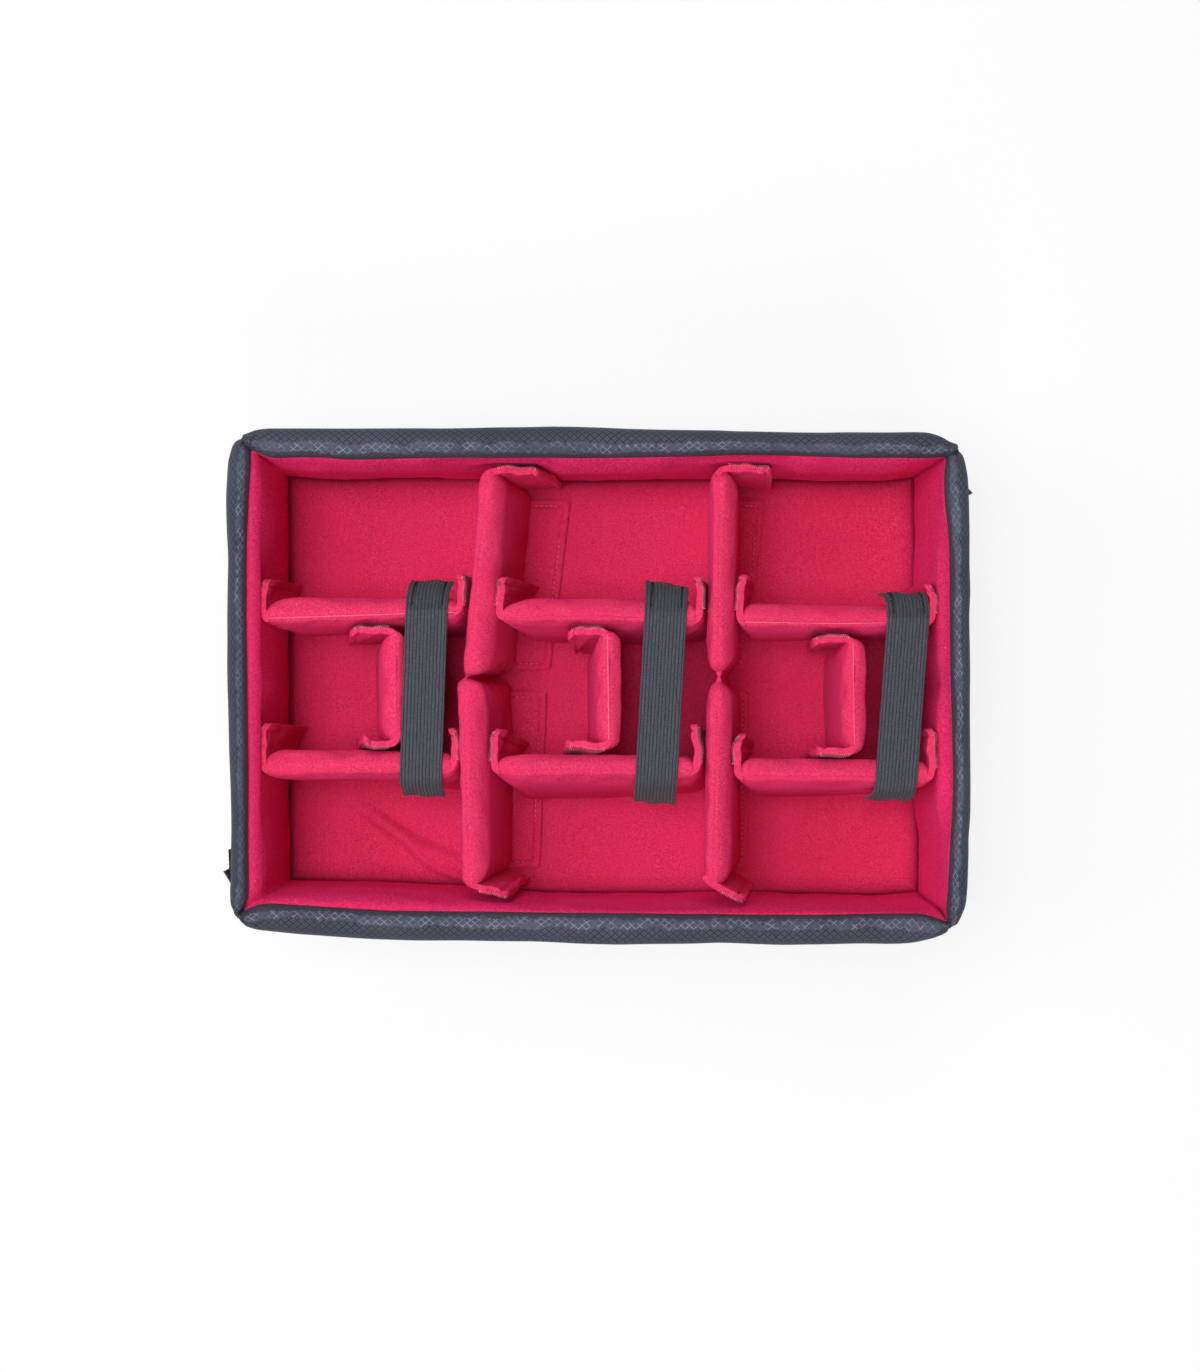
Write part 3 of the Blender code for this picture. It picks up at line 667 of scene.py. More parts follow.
def sew_seam(blank, seam, length, height):
    """Three cuts along the nose and down both ends; the middle one stands proud as a ridge between two dips."""
    with editing(blank) as mesh:
        for offset in (-SEAM_HALF, 0, SEAM_HALF):
            mesh.select_all(action="SELECT")
            mesh.bisect(plane_co=(0, seam + offset, 0), plane_no=(0, 1, 0))
    points, outward = points_of(blank), normals_of(blank)
    side = abs(points[:, 1] - seam)
    shown = np.maximum(ease(points[:, 2], height / 2 - 0.010, height / 2 - 0.006),
                       ease(abs(points[:, 0]), length / 2 - 0.010, length / 2 - 0.006))
    lift = np.where(side < 1e-4, 0.0002, 0) - np.where(abs(side - SEAM_HALF) < 1e-4, 0.0004, 0)
    place(blank, points + outward * (lift * shown)[:, None])
    mark(blank, "seam", np.where(side < 1e-4, 1.0, 0.0) * shown)


def shape_pad(points, length, thick, height, seams, runs, corners, seed):
    """Draws in the ends of a pad's blank, rounds its corners and creases its cloth."""
    seam_place, (seam_low, seam_high) = seams
    long, side, up = points.T.copy()
    share = long / length + 0.5
    shift = seam_low + (seam_high - seam_low) * share - seam_place
    side = side + shift * (1 - abs(side - seam_place) / (thick / 2 + abs(seam_place)))
    seam = seam_place + shift
    for end in (-1, 1):
        away = length / 2 - end * long
        for flank, run in zip((1, -1), runs[(end + 1) // 2]):
            share = np.clip(1 - away / run, 0, 1)
            keep = np.sqrt(np.maximum(1 - share**2, 0)) * 0.88 + 0.12
            side = np.where(((side - seam) * flank > 0) & (away < run), seam + (side - seam) * keep, side)
        drop, rise = (corner_fall(radius, away) for radius in corners)
        up = np.where(up > 0, up * (1 - drop / (height / 2)), up * (1 - rise / (height / 2)))
        near = np.exp(-away / 0.013)
        ripple = np.sin(up * 2 * math.pi / 0.019 + seed * 1.7 + 5 * away / 0.02) * near * 0.00055
        side = side + ripple * np.sign(side - seam) * np.clip(abs(side - seam) / 0.003, 0, 1)
    return np.stack([long, side, up], axis=1)


def make_pad(node, blank, body, ways, seams, runs, corners, trim, seed, pale, cross=True, own=None):
    """A padded divider panel from its blank, standing where its CAD node stands; ways run along and through it."""
    low, high = (np.array(c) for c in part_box(node))
    middle, size = (low + high) / 2, high - low
    along_dir, side_dir = (np.array([*way, 0]) for way in ways)
    length, thick = abs(along_dir) @ size, abs(side_dir) @ size
    pad = blank.copy()
    pad.data = blank.data.copy()
    pad.name = node + "_cloth"
    bpy.context.collection.objects.link(pad)
    raw = points_of(pad)
    raw *= np.array([length - sum(trim), thick, size[2]]) / (raw.max(axis=0) - raw.min(axis=0))
    local = shape_pad(raw, length - sum(trim), thick, size[2], seams, runs, corners, seed)
    local[:, 0] += (trim[0] - trim[1]) / 2
    spots = middle + local[:, :1] * along_dir + local[:, 1:2] * side_dir
    spots[:, 2] = middle[2] + local[:, 2]
    place(pad, spots)
    crease = 0.00050 * wave(spots, 34, seed) + 0.00026 * wave(spots, 110, seed + 40)
    spots = spots + normals_of(pad) * crease[:, None]
    spots[:, 2] = np.clip(spots[:, 2], low[2], high[2] + 0.0004)
    place(pad, lean(spots, cross, own))
    seam = pad.data.attributes["seam"]
    shares = np.empty(len(seam.data), dtype=np.float32)
    seam.data.foreach_get("value", shares)
    seam.data.foreach_set("value", shares * pale)
    settle(pad, PAD_RED, node, body)


def make_pads():
    for number in (1, 2, 3):
        low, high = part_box(f"cross_pad_{number}_upper")
        blank = stuffed_blank("cross blank", high[0] - low[0], 2 * HALF_PAD, high[2] - low[2], CROSS_BLANK_SEAM)
        for level, name in enumerate(("lower", "upper")):
            make_pad(f"cross_pad_{number}_{name}", blank, f"cross_pair_{number}", ((1, 0), (0, 1)),
                     (CROSS_BLANK_SEAM, CROSS_SEAMS[level][number - 1]), CROSS_RUNS[level][number - 1],
                     CROSS_CORNERS, (END_TRIM, END_TRIM), number * 2 + level,
                     CLEAR_SEAM if level == 1 and number != 2 else FAINT_SEAM)
        bpy.data.objects.remove(blank)
    for level, name in enumerate(("upper", "lower")):
        low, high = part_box(f"long_panel_1_{name}")
        blank = stuffed_blank("long blank", high[1] - low[1], 2 * HALF_PAD, high[2] - low[2], CROSS_BLANK_SEAM)
        for number, (hinge_run, trim) in enumerate(zip(HINGE_RUNS, HINGE_TRIMS), 1):
            make_pad(f"long_panel_{number}_{name}", blank, f"long_divider_{number}", ((0, -1), (1, 0)),
                     (CROSS_BLANK_SEAM, LONG_SEAMS[number - 1][level]),
                     (hinge_run, WALL_RUN) if level else (WALL_RUN, hinge_run), LONG_CORNERS[number - 1],
                     (trim, SHORT_END) if level else (END_TRIM, trim), 20 + number * 2 + level, FAINT_SEAM, False)
        bpy.data.objects.remove(blank)
    low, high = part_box("small_pad_1")
    blank = stuffed_blank("small blank", high[1] - low[1], high[0] - low[0], high[2] - low[2], SMALL_BLANK_SEAM)
    for number in (1, 2, 3):
        make_pad(f"small_pad_{number}", blank, f"small_divider_{number}", ((0, 1), (-1, 0)),
                 (SMALL_BLANK_SEAM, SMALL_SEAMS[number - 1]), SMALL_RUNS, CROSS_CORNERS, (END_TRIM, END_TRIM),
                 30 + number, SMALL_SEAM_TONES[number - 1], own=SMALL_LEAN[number - 1])
    bpy.data.objects.remove(blank)


# Tabs

TAB_CLOTH, TAPE_THICK = 0.0042, 0.0008
TAB_EDGE, TAB_TOP_CORNER, TAB_FOOT_CORNER = 0.0018, 0.0050, 0.0070

# The zigzag that sews a tab's tape on: its pitch, and how thick its thread is
ZIGZAG_PITCH, ZIGZAG_THREAD = 0.00060, 0.00019

# Where a tab leaves its divider's middle, off the pad's end
CROSS_TAB_ROOT, SMALL_TAB_ROOT, LONG_TAB_ROOT = -0.0088, -0.0083, -0.0118

# Tabs that aren't quite flat and square: share of the full reach at the top, how far the fold and the free end
# stand off, the fold's shift, how much shorter the foot is, and how far the foot's free corner stands off
TAB_SHAPES = {
    "long_tab_1_upper": (1.0, 0.0020, 0, 0, 0, 0), "long_tab_1_lower": (0.60, 0.0094, 0.0046, 0.0015, 0.1, 0),
    "long_tab_2_lower": (0.43, 0.0121, 0.0002, -0.0030, 0.1, 0),
    "cross_tab_1_upper_left": (0.62, 0, 0, 0, -0.50, 0.0040), "cross_tab_1_upper_right": (0.86, 0, 0, 0, -0.10, 0),
    "cross_tab_2_upper_left": (0.74, 0, 0, 0, -0.30, 0.0050), "cross_tab_2_upper_right": (0.90, 0, 0, 0, -0.08, 0),
    "cross_tab_3_upper_right": (0.74, 0, 0, 0, -0.25, 0), "cross_tab_1_lower_left": (0.86, 0, 0, 0, -0.10, 0.0090),
    "cross_tab_1_lower_right": (0.77, 0, 0, 0, -0.20, 0), "cross_tab_2_lower_left": (0.78, 0, 0, 0, -0.20, 0.0020),
    "cross_tab_3_lower_left": (0.74, 0, 0, 0, -0.20, 0.0010), "small_tab_1_lower": (0.56, 0, 0, 0, -0.30, 0),
    "small_tab_2_upper": (0.95, 0, 0, 0, 0.60, 0), "small_tab_3_upper": (0.95, 0, 0, 0, 0.45, 0),
    "small_tab_3_lower": (0.80, 0, 0, 0, -0.10, 0),
}
PLAIN_TAB = (1.0, 0, 0, 0, 0, 0)


class TabPlace:
    """Where a tab lies: its fold, the way it runs along what it sticks to, and the way off that."""

    def __init__(self, node, carrier, run, off, seam, seed, cross=True, own=None):
        low, high = (np.array(c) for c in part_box(node))
        self.node, self.carrier, self.seed = node, carrier, seed
        self.run, self.off = np.array([*run, 0.0]), np.array([*off, 0.0])
        start = np.where(self.run > 0, low, high)
        wall = np.where(self.off > 0, low, high) - self.off * 0.0003
        self.fold = np.where(abs(self.run) > 0, start, 0) + np.where(abs(self.off) > 0, wall, 0)
        self.low_z, self.high_z = low[2], high[2]
        self.cross, self.own = cross, own
        short, self.fold_off, self.end_off, moved, self.cut, self.splay = TAB_SHAPES.get(node, PLAIN_TAB)
        self.seam = seam + moved
        self.reach = abs((high - low) @ self.run) * short
        self.freed = self.fold_off > 0.004

    def up(self, z):
        return np.clip((z - self.low_z) / (self.high_z - self.low_z), 0, 1)

    def to_room(self, u, w, z):
        u = np.where(u > 0, u * (1 - self.cut * (1 - self.up(z))), u)
        spots = self.fold + np.outer(u, self.run) + np.outer(w, self.off)
        spots[:, 2] = z
        return lean(spots, self.cross, self.own)

    def bend(self, piece):
        """Works out the leaning fold line, its ends moved out to the hinge where it leans back past it, and the way
        across it, then bakes the piece's place into its mesh; the piece is not turned."""
        ends = self.to_room(np.zeros(2), np.full(2, 0.002), np.array([self.low_z, self.high_z]))
        back = np.minimum((ends - self.fold) @ self.run, 0)
        ends = ends - np.outer(back, self.run)
        rise = ends[1] - ends[0]
        rise /= np.linalg.norm(rise)
        way = self.run - rise * (self.run @ rise)
        way /= np.linalg.norm(way)
        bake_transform(piece)

    def line(self, lift):
        """The tab's way in plan: out of the pad's seam, round the fold and along the wall; lift is off the wall."""
        root, off, end = self.seam, self.fold_off, self.end_off
        middle = (root + 0.006 + self.reach) / 2 if self.freed else 0.0
        drop = off - end
        return rounded([(root - 0.0002, 0.0072 + off), (root + 0.0006, 0.0050 + off),
                        (root + 0.0022, lift + 0.0006 + off), (root + 0.0060, lift + end + drop * 0.8),
                        (middle, lift + end + drop * 0.45), (self.reach - 0.004, lift + end + drop * 0.1 + 0.0001),
                        (self.reach, lift + end + 0.0004)])

    def flare(self, u, z):
        """How far the free end curls off the wall, and how the tab waves along it."""
        out, up, turn = np.clip(u / self.reach, 0, 1), self.up(z), self.seed * 2.3
        curl = out**2 * (0.0013 + 0.0011 * math.sin(turn) + 0.0010 * np.sin(up * 4.2 + turn))
        curl = curl * (0.3 if self.freed else 1) + self.splay * out**2 * (1 - up)
        curl = curl * (1 - min(1, max(0, self.cut) * 1.6) * (1 - up))
        waves = 0.00055 * np.sin(u * 430 + z * 60 + turn) + 0.0004 * np.sin(z * 95 + u * 150 + turn * 2)
        return curl + out * (0.0005 + 0.0006 * np.sin(z * 130 + turn) * out) + waves * ease(u, -0.004, 0.006)

    def height(self, u, share=1.0):
        """Height at a share of the tab's side, its free corners rounded and its top a little slack."""
        away = np.clip(self.reach - u, 0, None)
        sag = 0.0011 * np.sin(np.clip(u / self.reach, 0, 1) * math.pi) * (0.5 + 0.5 * math.cos(self.seed * 1.7))
        sag = sag + 0.0004 * np.sin(u * 640 + self.seed)
        low = self.low_z + corner_fall(TAB_FOOT_CORNER, away)
        high = self.high_z - corner_fall(TAB_TOP_CORNER, away) + 0.0014 - sag
        return low + (high - low) * share


def make_tab(tab):
    """Two layers of loop cloth, turned and sewn together, with a soft round edge and a hem along the free end."""
    cloth, run, rise = grid(tab.node + "_cloth", 34, 44)
    lift = TAPE_THICK + 0.0003 + TAB_CLOTH / 2
    spots, _, total = along(tab.line(lift), run)
    place(cloth, np.column_stack([spots, tab.height(spots[:, 0], rise)]))
    thicken(cloth, TAB_CLOTH, TAB_EDGE, 4)
    points = points_of(cloth)
    u, _, z = points.T
    hem = bell(u - (tab.reach - 0.0042), 0.0008) * ease(u, 0.0, 0.004)
    top = bell(z - (tab.height(u) - 0.0045), 0.0008) * ease(u, -0.004, 0.004)
    crease = 0.00060 * wave(points, 95, tab.seed) + 0.00035 * wave(points, 230, tab.seed + 9)
    puff = crease - 0.0010 * np.maximum(hem, 0.6 * top)
    u, w, z = (points + normals_of(cloth) * puff[:, None]).T
    place(cloth, tab.to_room(u, w + tab.flare(u, z), z))
    face_outwards(cloth)
    smooth(cloth)
    tab.bend(cloth)
    settle(cloth, PAD_RED, tab.node)
    make_tab_tape(tab, lift)


def make_tab_tape(tab, lift):
    """The hook tape on the tab's back, and the pale zigzag that sews it on along the edge."""
    line, _, _ = along(tab.line(lift - TAB_CLOTH / 2 - TAPE_THICK / 2), np.linspace(0, 1, 90))
    line = line[np.argsort(line[:, 0])]
    tape, run, rise = grid(tab.node + "_hook_tape", 12, 20)
    u = -0.004 + run * (tab.reach + 0.0030)
    foot = tab.low_z + 0.004
    height = foot + rise * (tab.height(u) - 0.0030 - foot)
    place(tape, tab.to_room(u, np.interp(u, *line.T) + tab.flare(u, height), height))
    thicken(tape, TAPE_THICK)
    tab.bend(tape)
    settle(tape, HOOK_TAPE)
    steps = np.arange(int((tab.reach + 0.0045) / ZIGZAG_PITCH))
    u = -0.0055 + steps * ZIGZAG_PITCH
    top = tab.height(u)
    w = np.interp(u, *line.T) + 0.0001 + np.where(steps % 2, 0.0013, -0.0006) + tab.flare(u, top)
    edge = tab.to_room(u, w, top + 0.0004 - np.where(steps % 2, 0.0, 0.0010))
    thread_line(tab.node + "_zigzag", [edge], ZIGZAG_THREAD, PALE_THREAD, tab.bend)


def thread_line(name, lines, radius, material, attach):
    """Round threads along polylines, as one piece."""
    curve = bpy.data.curves.new(name, "CURVE")
    curve.dimensions = "3D"
    curve.bevel_depth, curve.bevel_resolution = radius, 0
    curve.use_fill_caps = True
    for line in lines:
        spline = curve.splines.new("POLY")
        spline.points.add(len(line) - 1)
        spline.points.foreach_set("co", np.column_stack([line, np.ones(len(line))]).ravel())
    piece = bpy.data.objects.new(name, curve)
    bpy.context.collection.objects.link(piece)
    only(piece)
    bpy.ops.object.convert(target="MESH")
    piece = bpy.context.object
    piece.name = name
    smooth(piece)
    dress(piece, material)
    attach(piece)
    return piece


def make_tabs():
    """All tabs; each one's number sets its own waves."""
    seeds = iter(range(22))
    for number in (1, 2, 3):
        for level, name in enumerate(("lower", "upper")):
            for side, (word, off) in enumerate((("left", (1, 0)), ("right", (-1, 0)))):
                make_tab(TabPlace(f"cross_tab_{number}_{name}_{word}", f"cross_pair_{number}", (0, 1), off,
                                  CROSS_TAB_ROOT + CROSS_SEAMS[level][number - 1][side], next(seeds)))
        for side, (word, off) in enumerate((("lower", (0, 1)), ("upper", (0, -1)))):
            make_tab(TabPlace(f"small_tab_{number}_{word}", f"small_divider_{number}", (-1, 0), off,
                              SMALL_TAB_ROOT + SMALL_SEAMS[number - 1][side], next(seeds), own=SMALL_LEAN[number - 1]))
    for number in (1, 2):
        for word, off in (("upper", (0, -1)), ("lower", (0, 1))):
            make_tab(TabPlace(f"long_tab_{number}_{word}", f"long_divider_{number}", (1, 0), off,
                              LONG_TAB_ROOT, next(seeds), cross=False))


# Floor flaps and hinge webs

FLAP_THICK, FLAP_ROOT, FLAP_CORNER = 0.0024, 0.0060, 0.0015

# How far a flap's north end goes past its CAD node's
FLAP_STRETCH = {"upper": 0.0020, "lower": -0.0035}

# How far each floor flap is tucked under its panel, at its north and its south end
FLAP_CUTS = {(1, "upper"): (0.0, 0.0040), (1, "lower"): (0.0045, 0.0090), (2, "upper"): (0.0083, 0.0215),
             (2, "lower"): (0.0195, 0.0200)}

# How far a flap's stitches lie inside its edges, how long one is and how far it is to the next
STITCH_INSET, STITCH, STITCH_SPACE = 0.0034, 0.0021, 0.0033

WEB_THICK, WEB_SHIFTS = 0.0032, (-0.0055, 0.0)


def make_floor_flap(number, name, seed):
    """A flap sewn along a panel's foot, lying on the floor, puffed up inside its row of stitches."""
    node = f"floor_flap_{number}_{name}"
    low, high = (list(c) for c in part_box(node))
    flap, across, along_y = grid(node + "_cloth", 30, 90)
    high[1] += FLAP_STRETCH[name]
    north, south = FLAP_CUTS[number, name]
    y = low[1] + along_y * (high[1] - low[1])
    edge_x = high[0] - south - (north - south) * along_y
    x = low[0] - FLAP_ROOT + across * (edge_x - low[0] + FLAP_ROOT)
    pull = corner_fall(FLAP_CORNER, np.minimum(y - low[1], high[1] - y))
    x = np.where(across > 0.5, x - pull * (across - 0.5) * 2, x)
    spots = np.stack([x, y, np.full_like(x, low[2] + FLAP_THICK / 2 + 0.0001)], axis=1)
    inset = np.minimum(np.minimum(edge_x - x, y - low[1]), high[1] - y)
    puff = 0.0008 * ease(inset, 0, 0.0014) - 0.0014 * bell(inset - STITCH_INSET, 0.0009)
    lift = 0.0008 * np.clip(wave(spots, 55, seed), 0, 1) * ease(inset, 0.02, 0)
    spots[:, 2] += puff + lift
    place(flap, spots)
    thicken(flap, FLAP_THICK, 0.0006)
    smooth(flap)
    # Painted shadow round the flap's underside rim, where it lies on the floor, kept in its crease attribute
    mark(flap, "crease", ease(points_of(flap)[:, 2], low[2] + 0.0016, low[2] + 0.0004))
    place(flap, lean(points_of(flap), False))
    settle(flap, CLOTH_RED, node, f"long_divider_{number}")
    sew_flap(node, number, low, high, (north, south), low[2] + FLAP_THICK + 0.0003)


def sew_flap(node, number, low, high, cuts, height):
    """The flap's stitches: short threads round its three free edges."""
    south_y, north_y = low[1] + STITCH_INSET, high[1] - STITCH_INSET
    path = rounded([(low[0], south_y), (high[0] - cuts[1] - STITCH_INSET, south_y),
                    (high[0] - cuts[0] - STITCH_INSET, north_y), (low[0], north_y)], 1)
    _, _, total = along(path, [0])
    arch = height + np.array([-0.0007, 0.0001, -0.0007])
    lines = []
    for begin in np.arange(0.001, total - STITCH, STITCH_SPACE):
        spots, _, _ = along(path, np.array([begin, begin + STITCH * 0.5, begin + STITCH]) / total)
        lines.append(lean(np.column_stack([spots, arch]), False))
    piece = thread_line(node + "_stitches", lines, 0.00034, RED_THREAD, lambda p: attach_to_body(p, f"long_divider_{number}"))


def make_hinge_web(number):
    """The sewn fold between the two panels: a narrow band of two cloths with a stitched middle."""
    node = f"hinge_web_{number}"
    low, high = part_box(node)
    web, across, rise = grid(node + "_cloth", 10, 34)
    centre_x = (low[0] + high[0]) / 2 + WEB_SHIFTS[number - 1]
    y = low[1] - 0.004 + across * (high[1] - low[1] + 0.008)
    z = low[2] - 0.010 + rise * (high[2] - low[2] + 0.012)
    place(web, np.stack([centre_x + 0.0004 * np.sin(z * 420), y, z], axis=1))
    thicken(web, WEB_THICK)
    points = points_of(web)
    middle = bell(points[:, 1] - (low[1] + high[1]) / 2, 0.0016)
    points[:, 0] = centre_x + (points[:, 0] - centre_x) * (1 - 0.55 * middle)
    place(web, lean(points, False))
    smooth(web)
    settle(web, CLOTH_RED, node, f"long_divider_{number}")


# Straps

# Each strap's place along X at the upper cross divider, and its slant
STRAP_START = ((-0.1011, 0.036), (0.0400, 0.0585), (0.1831, 0.076))

# A strap's way in Y and Z, from the upper cross divider south, and its turned end on the north side
STRAP_SOUTH = [(0.0372, 0.1204), (0.028, 0.1204), (0.010, 0.1202), (-0.010, 0.1200), (-0.030, 0.1202),
               (-0.050, 0.1204), (-0.0580, 0.1203), (-0.0625, 0.1180), (-0.0650, 0.1120), (-0.0668, 0.1040),
               (-0.0678, 0.0980)]
STRAP_NORTH = [(0.0368, 0.1204), (0.0400, 0.1204), (0.0445, 0.1202), (0.0490, 0.1188), (0.0530, 0.1156),
               (0.0560, 0.1108), (0.0577, 0.1062)]

# Each strap end: how far its left and its right corner are drawn in, its drift sideways and its flare
STRAP_NORTH_ENDS = (((0.0030, 0.0028), 0.0018, 0.0), ((0.0012, 0.0052), 0.0, 0.0), ((0.0062, 0.0066), -0.0040, 0.03))
STRAP_SOUTH_ENDS = (((0.0004, 0.0006), 0.0006, 0.0), ((0.0016, 0.0034), 0.0, 0.0), ((-0.0014, -0.0008), -0.0026, 0.0))

TACK_EDGE, TACK_STEPS, TACK_SWING = 0.0088, 16, 0.0006


def off_the_way(sides):
    """The side directions of a strap's way, all turned upwards."""
    return sides * np.sign(sides[:, 1:2] + 1e-9)


def make_strap(number):
    """One ribbed elastic over a column's two cross dividers, and its turned-down, sewn north end."""
    start_x, skew = STRAP_START[number - 1]
    carrier = f"cross_pair_{number}"
    for name, knots in ((f"strap_{number}", STRAP_SOUTH), (f"strap_end_{number}", STRAP_NORTH)):
        sewn = name.startswith("strap_end")
        pulls, shift, flare = (STRAP_NORTH_ENDS if sewn else STRAP_SOUTH_ENDS)[number - 1]
        line = rounded(knots, 4)
        _, _, total = along(line, [0])
        piece, across, run = grid(name + "_elastic", STRAP_RIBS * 6, max(16, round(total / 0.0014)))
        part = (across - 0.5) * 2
        spots, sides, _ = along(line, run)
        pull = (pulls[0] * (1 - part) / 2 + pulls[1] * (1 + part) / 2) * ease(run, 0.35 if sewn else 0.90, 1.0)
        side = part * STRAP_WIDTH / 2
        rib = 0.00024 * np.cos(side / STRAP_WIDTH * STRAP_RIBS * 2 * math.pi)
        if sewn:
            last = turned = ease(run, 0.0, 0.9)
            wide = 1 + (0.035 + flare) * last * np.where(part < 0, 1, 0.4)
        else:
            last = ease(run, 0.90, 1.0)
            turned = last + (ease(run, 0.84, 0.94) - last) * (1 - part) / 2
            wide = 1 + flare * last * (part < 0)
        out = off_the_way(sides)
        x = start_x + skew * (spots[:, 0] - ROW_Y[1]) + side * wide + shift * turned
        lift = rib + STRAP_THICK / 2 + 0.0005 * np.sin(part * 5 + number) * last
        place(piece, np.stack([x, spots[:, 0] + out[:, 0] * lift - pull, spots[:, 1] + out[:, 1] * lift], axis=1))
        write_cloth_map(piece, side, run * total)
        thicken(piece, STRAP_THICK)
        smooth(piece)
        place(piece, lean(points_of(piece), own=(0, 0)))
        if sewn:
            settle(piece, ELASTIC_HEM, name, carrier)
            sew_strap_end(number, line, start_x, skew, shift, pulls)
        else:
            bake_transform(piece)
            settle(piece, ELASTIC, name)


def sew_strap_end(number, line, start_x, skew, shift, pulls):
    """Two short black bar tacks that hold the strap's turned end."""
    steps = np.linspace(0.10, 0.72, TACK_STEPS)
    spots, sides, _ = along(line, steps)
    out, lift = off_the_way(sides), STRAP_THICK + 0.0004
    swing = np.where(np.arange(TACK_STEPS) % 2, TACK_SWING, -TACK_SWING)
    lines = []
    for edge, pull in ((-TACK_EDGE, pulls[0]), (TACK_EDGE, pulls[1])):
        x = start_x + skew * (spots[:, 0] - ROW_Y[1]) + edge + shift * ease(steps, 0, 0.9) + swing
        y = spots[:, 0] + out[:, 0] * lift - pull * ease(steps, 0.35, 1.0)
        lines.append(lean(np.stack([x, y, spots[:, 1] + out[:, 1] * lift], axis=1), own=(0, 0)))
    piece = thread_line(f"strap_end_{number}_tacks", lines, 0.00035, BLACK_THREAD,
                        lambda p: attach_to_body(p, f"cross_pair_{number}"))


def write_cloth_map(piece, across, run):
    """The piece's own cloth coordinates, in metres, one pair a point."""
    while piece.data.uv_layers:
        piece.data.uv_layers.remove(piece.data.uv_layers[0])
    layer = piece.data.uv_layers.new(name="cloth")
    corners = np.empty(len(piece.data.loops), dtype=np.int32)
    piece.data.loops.foreach_get("vertex_index", corners)
    layer.data.foreach_set("uv", np.column_stack([across[corners], run[corners]]).astype(np.float32).ravel())


# The tray

SIDE_STEPS, CORNER_STEPS = (250, 170), 28

# The rim's cloth map: where the way over the rim starts, and its length there
RIM_START, RIM_REACH = 0.1305, 0.0250

# The base cover's rings of cloth, its middle height and its thickness
BASE_RINGS, BASE_MIDDLE, BASE_THICK = 14, 0.0007, 0.0010

BOARD_FOOT, BOARD_TOP = 0.0118, 0.1300

# Where tabs and pad ends press on the walls: the middle of each spot and half its width
PRESSED_NORTH, PRESSED_SOUTH = ((-0.0625, 0.030), (0.077, 0.030)), ((0.088, 0.010),)
PRESSED_Y = ((-0.043, 0.026), (0.046, 0.026))
PRESSED = (PRESSED_NORTH, PRESSED_Y, PRESSED_SOUTH, PRESSED_Y)

# How the lining bellies out up a wall: heights as shares, then how much, for the north wall and for the others
NORTH_BELLY = ((0, 0.36, 0.52, 0.66, 0.76, 0.86, 0.94, 1), (0, 0.05, 0.30, 0.88, 1, 0.84, 0.52, 0))
OTHER_BELLY = ((0, 0.25, 0.5, 0.72, 0.88, 0.97, 1), (0, 0.35, 0.8, 1, 0.85, 0.45, 0))
BELLY_DEPTHS = np.array([0.0074, 0.0008, 0.0016, 0.0012])


def foot_outline():
    """Points round the tray's foot as the part has them, side after side, and the run along them."""
    centre = np.array([HALF_LENGTH, HALF_WIDTH]) - SIDE_BOW - OUTER_CORNER
    signs = ((1, 1), (-1, 1), (-1, -1), (1, -1))
    points = []
    for quarter, sign in enumerate(signs):
        turns = math.pi / 2 * (quarter + np.arange(CORNER_STEPS) / CORNER_STEPS)
        points.append(centre * sign + OUTER_CORNER * np.column_stack([np.cos(turns), np.sin(turns)]))
        outward = np.array([math.cos(math.pi / 2 * (quarter + 1)), math.sin(math.pi / 2 * (quarter + 1))])
        first = centre * sign + OUTER_CORNER * outward
        last = centre * signs[(quarter + 1) % 4] + OUTER_CORNER * outward
        share = (np.arange(SIDE_STEPS[quarter % 2]) / SIDE_STEPS[quarter % 2])[:, None]
        points.append(first + (last - first) * share + SIDE_BOW * (1 - (2 * share - 1) ** 2) * outward)
    points = np.vstack(points)
    steps = np.linalg.norm(np.roll(points, -1, axis=0) - points, axis=1)
    return points, np.concatenate([[0], np.cumsum(steps)])


def rim_outlines():
    """The same stations at the rim: its outer line, its inner line and each station's side and corner."""
    outer, inner, side = [], [], []
    for k in range(4):
        share = np.arange(CORNER_STEPS) / CORNER_STEPS
        outer.append(along(OUTER_CORNERS[k], share)[0])
        inner.append(np.tile(INNER_SIDES[k][0], (CORNER_STEPS, 1)))
        side.append(np.where(share < 0.5, (k + 3) % 4, k))
        share = np.arange(SIDE_STEPS[k % 2]) / SIDE_STEPS[k % 2]
        outer.append(along(OUTER_SIDES[k], share)[0])
        inner.append(along(INNER_SIDES[k], share)[0])
        side.append(np.full(len(share), k))
    return soften(np.vstack(outer), 8), soften(np.vstack(inner), 3), np.concatenate(side)


def ring_piece(name, stations, sections):
    """A closed ring of cloth from a grid: stations round it, sections across it; their numbers come with it."""
    piece, round_share, across_share = grid(name, stations, sections)
    station = np.rint(round_share * stations).astype(int)
    section = np.rint(across_share * sections).astype(int)
    return piece, station, section


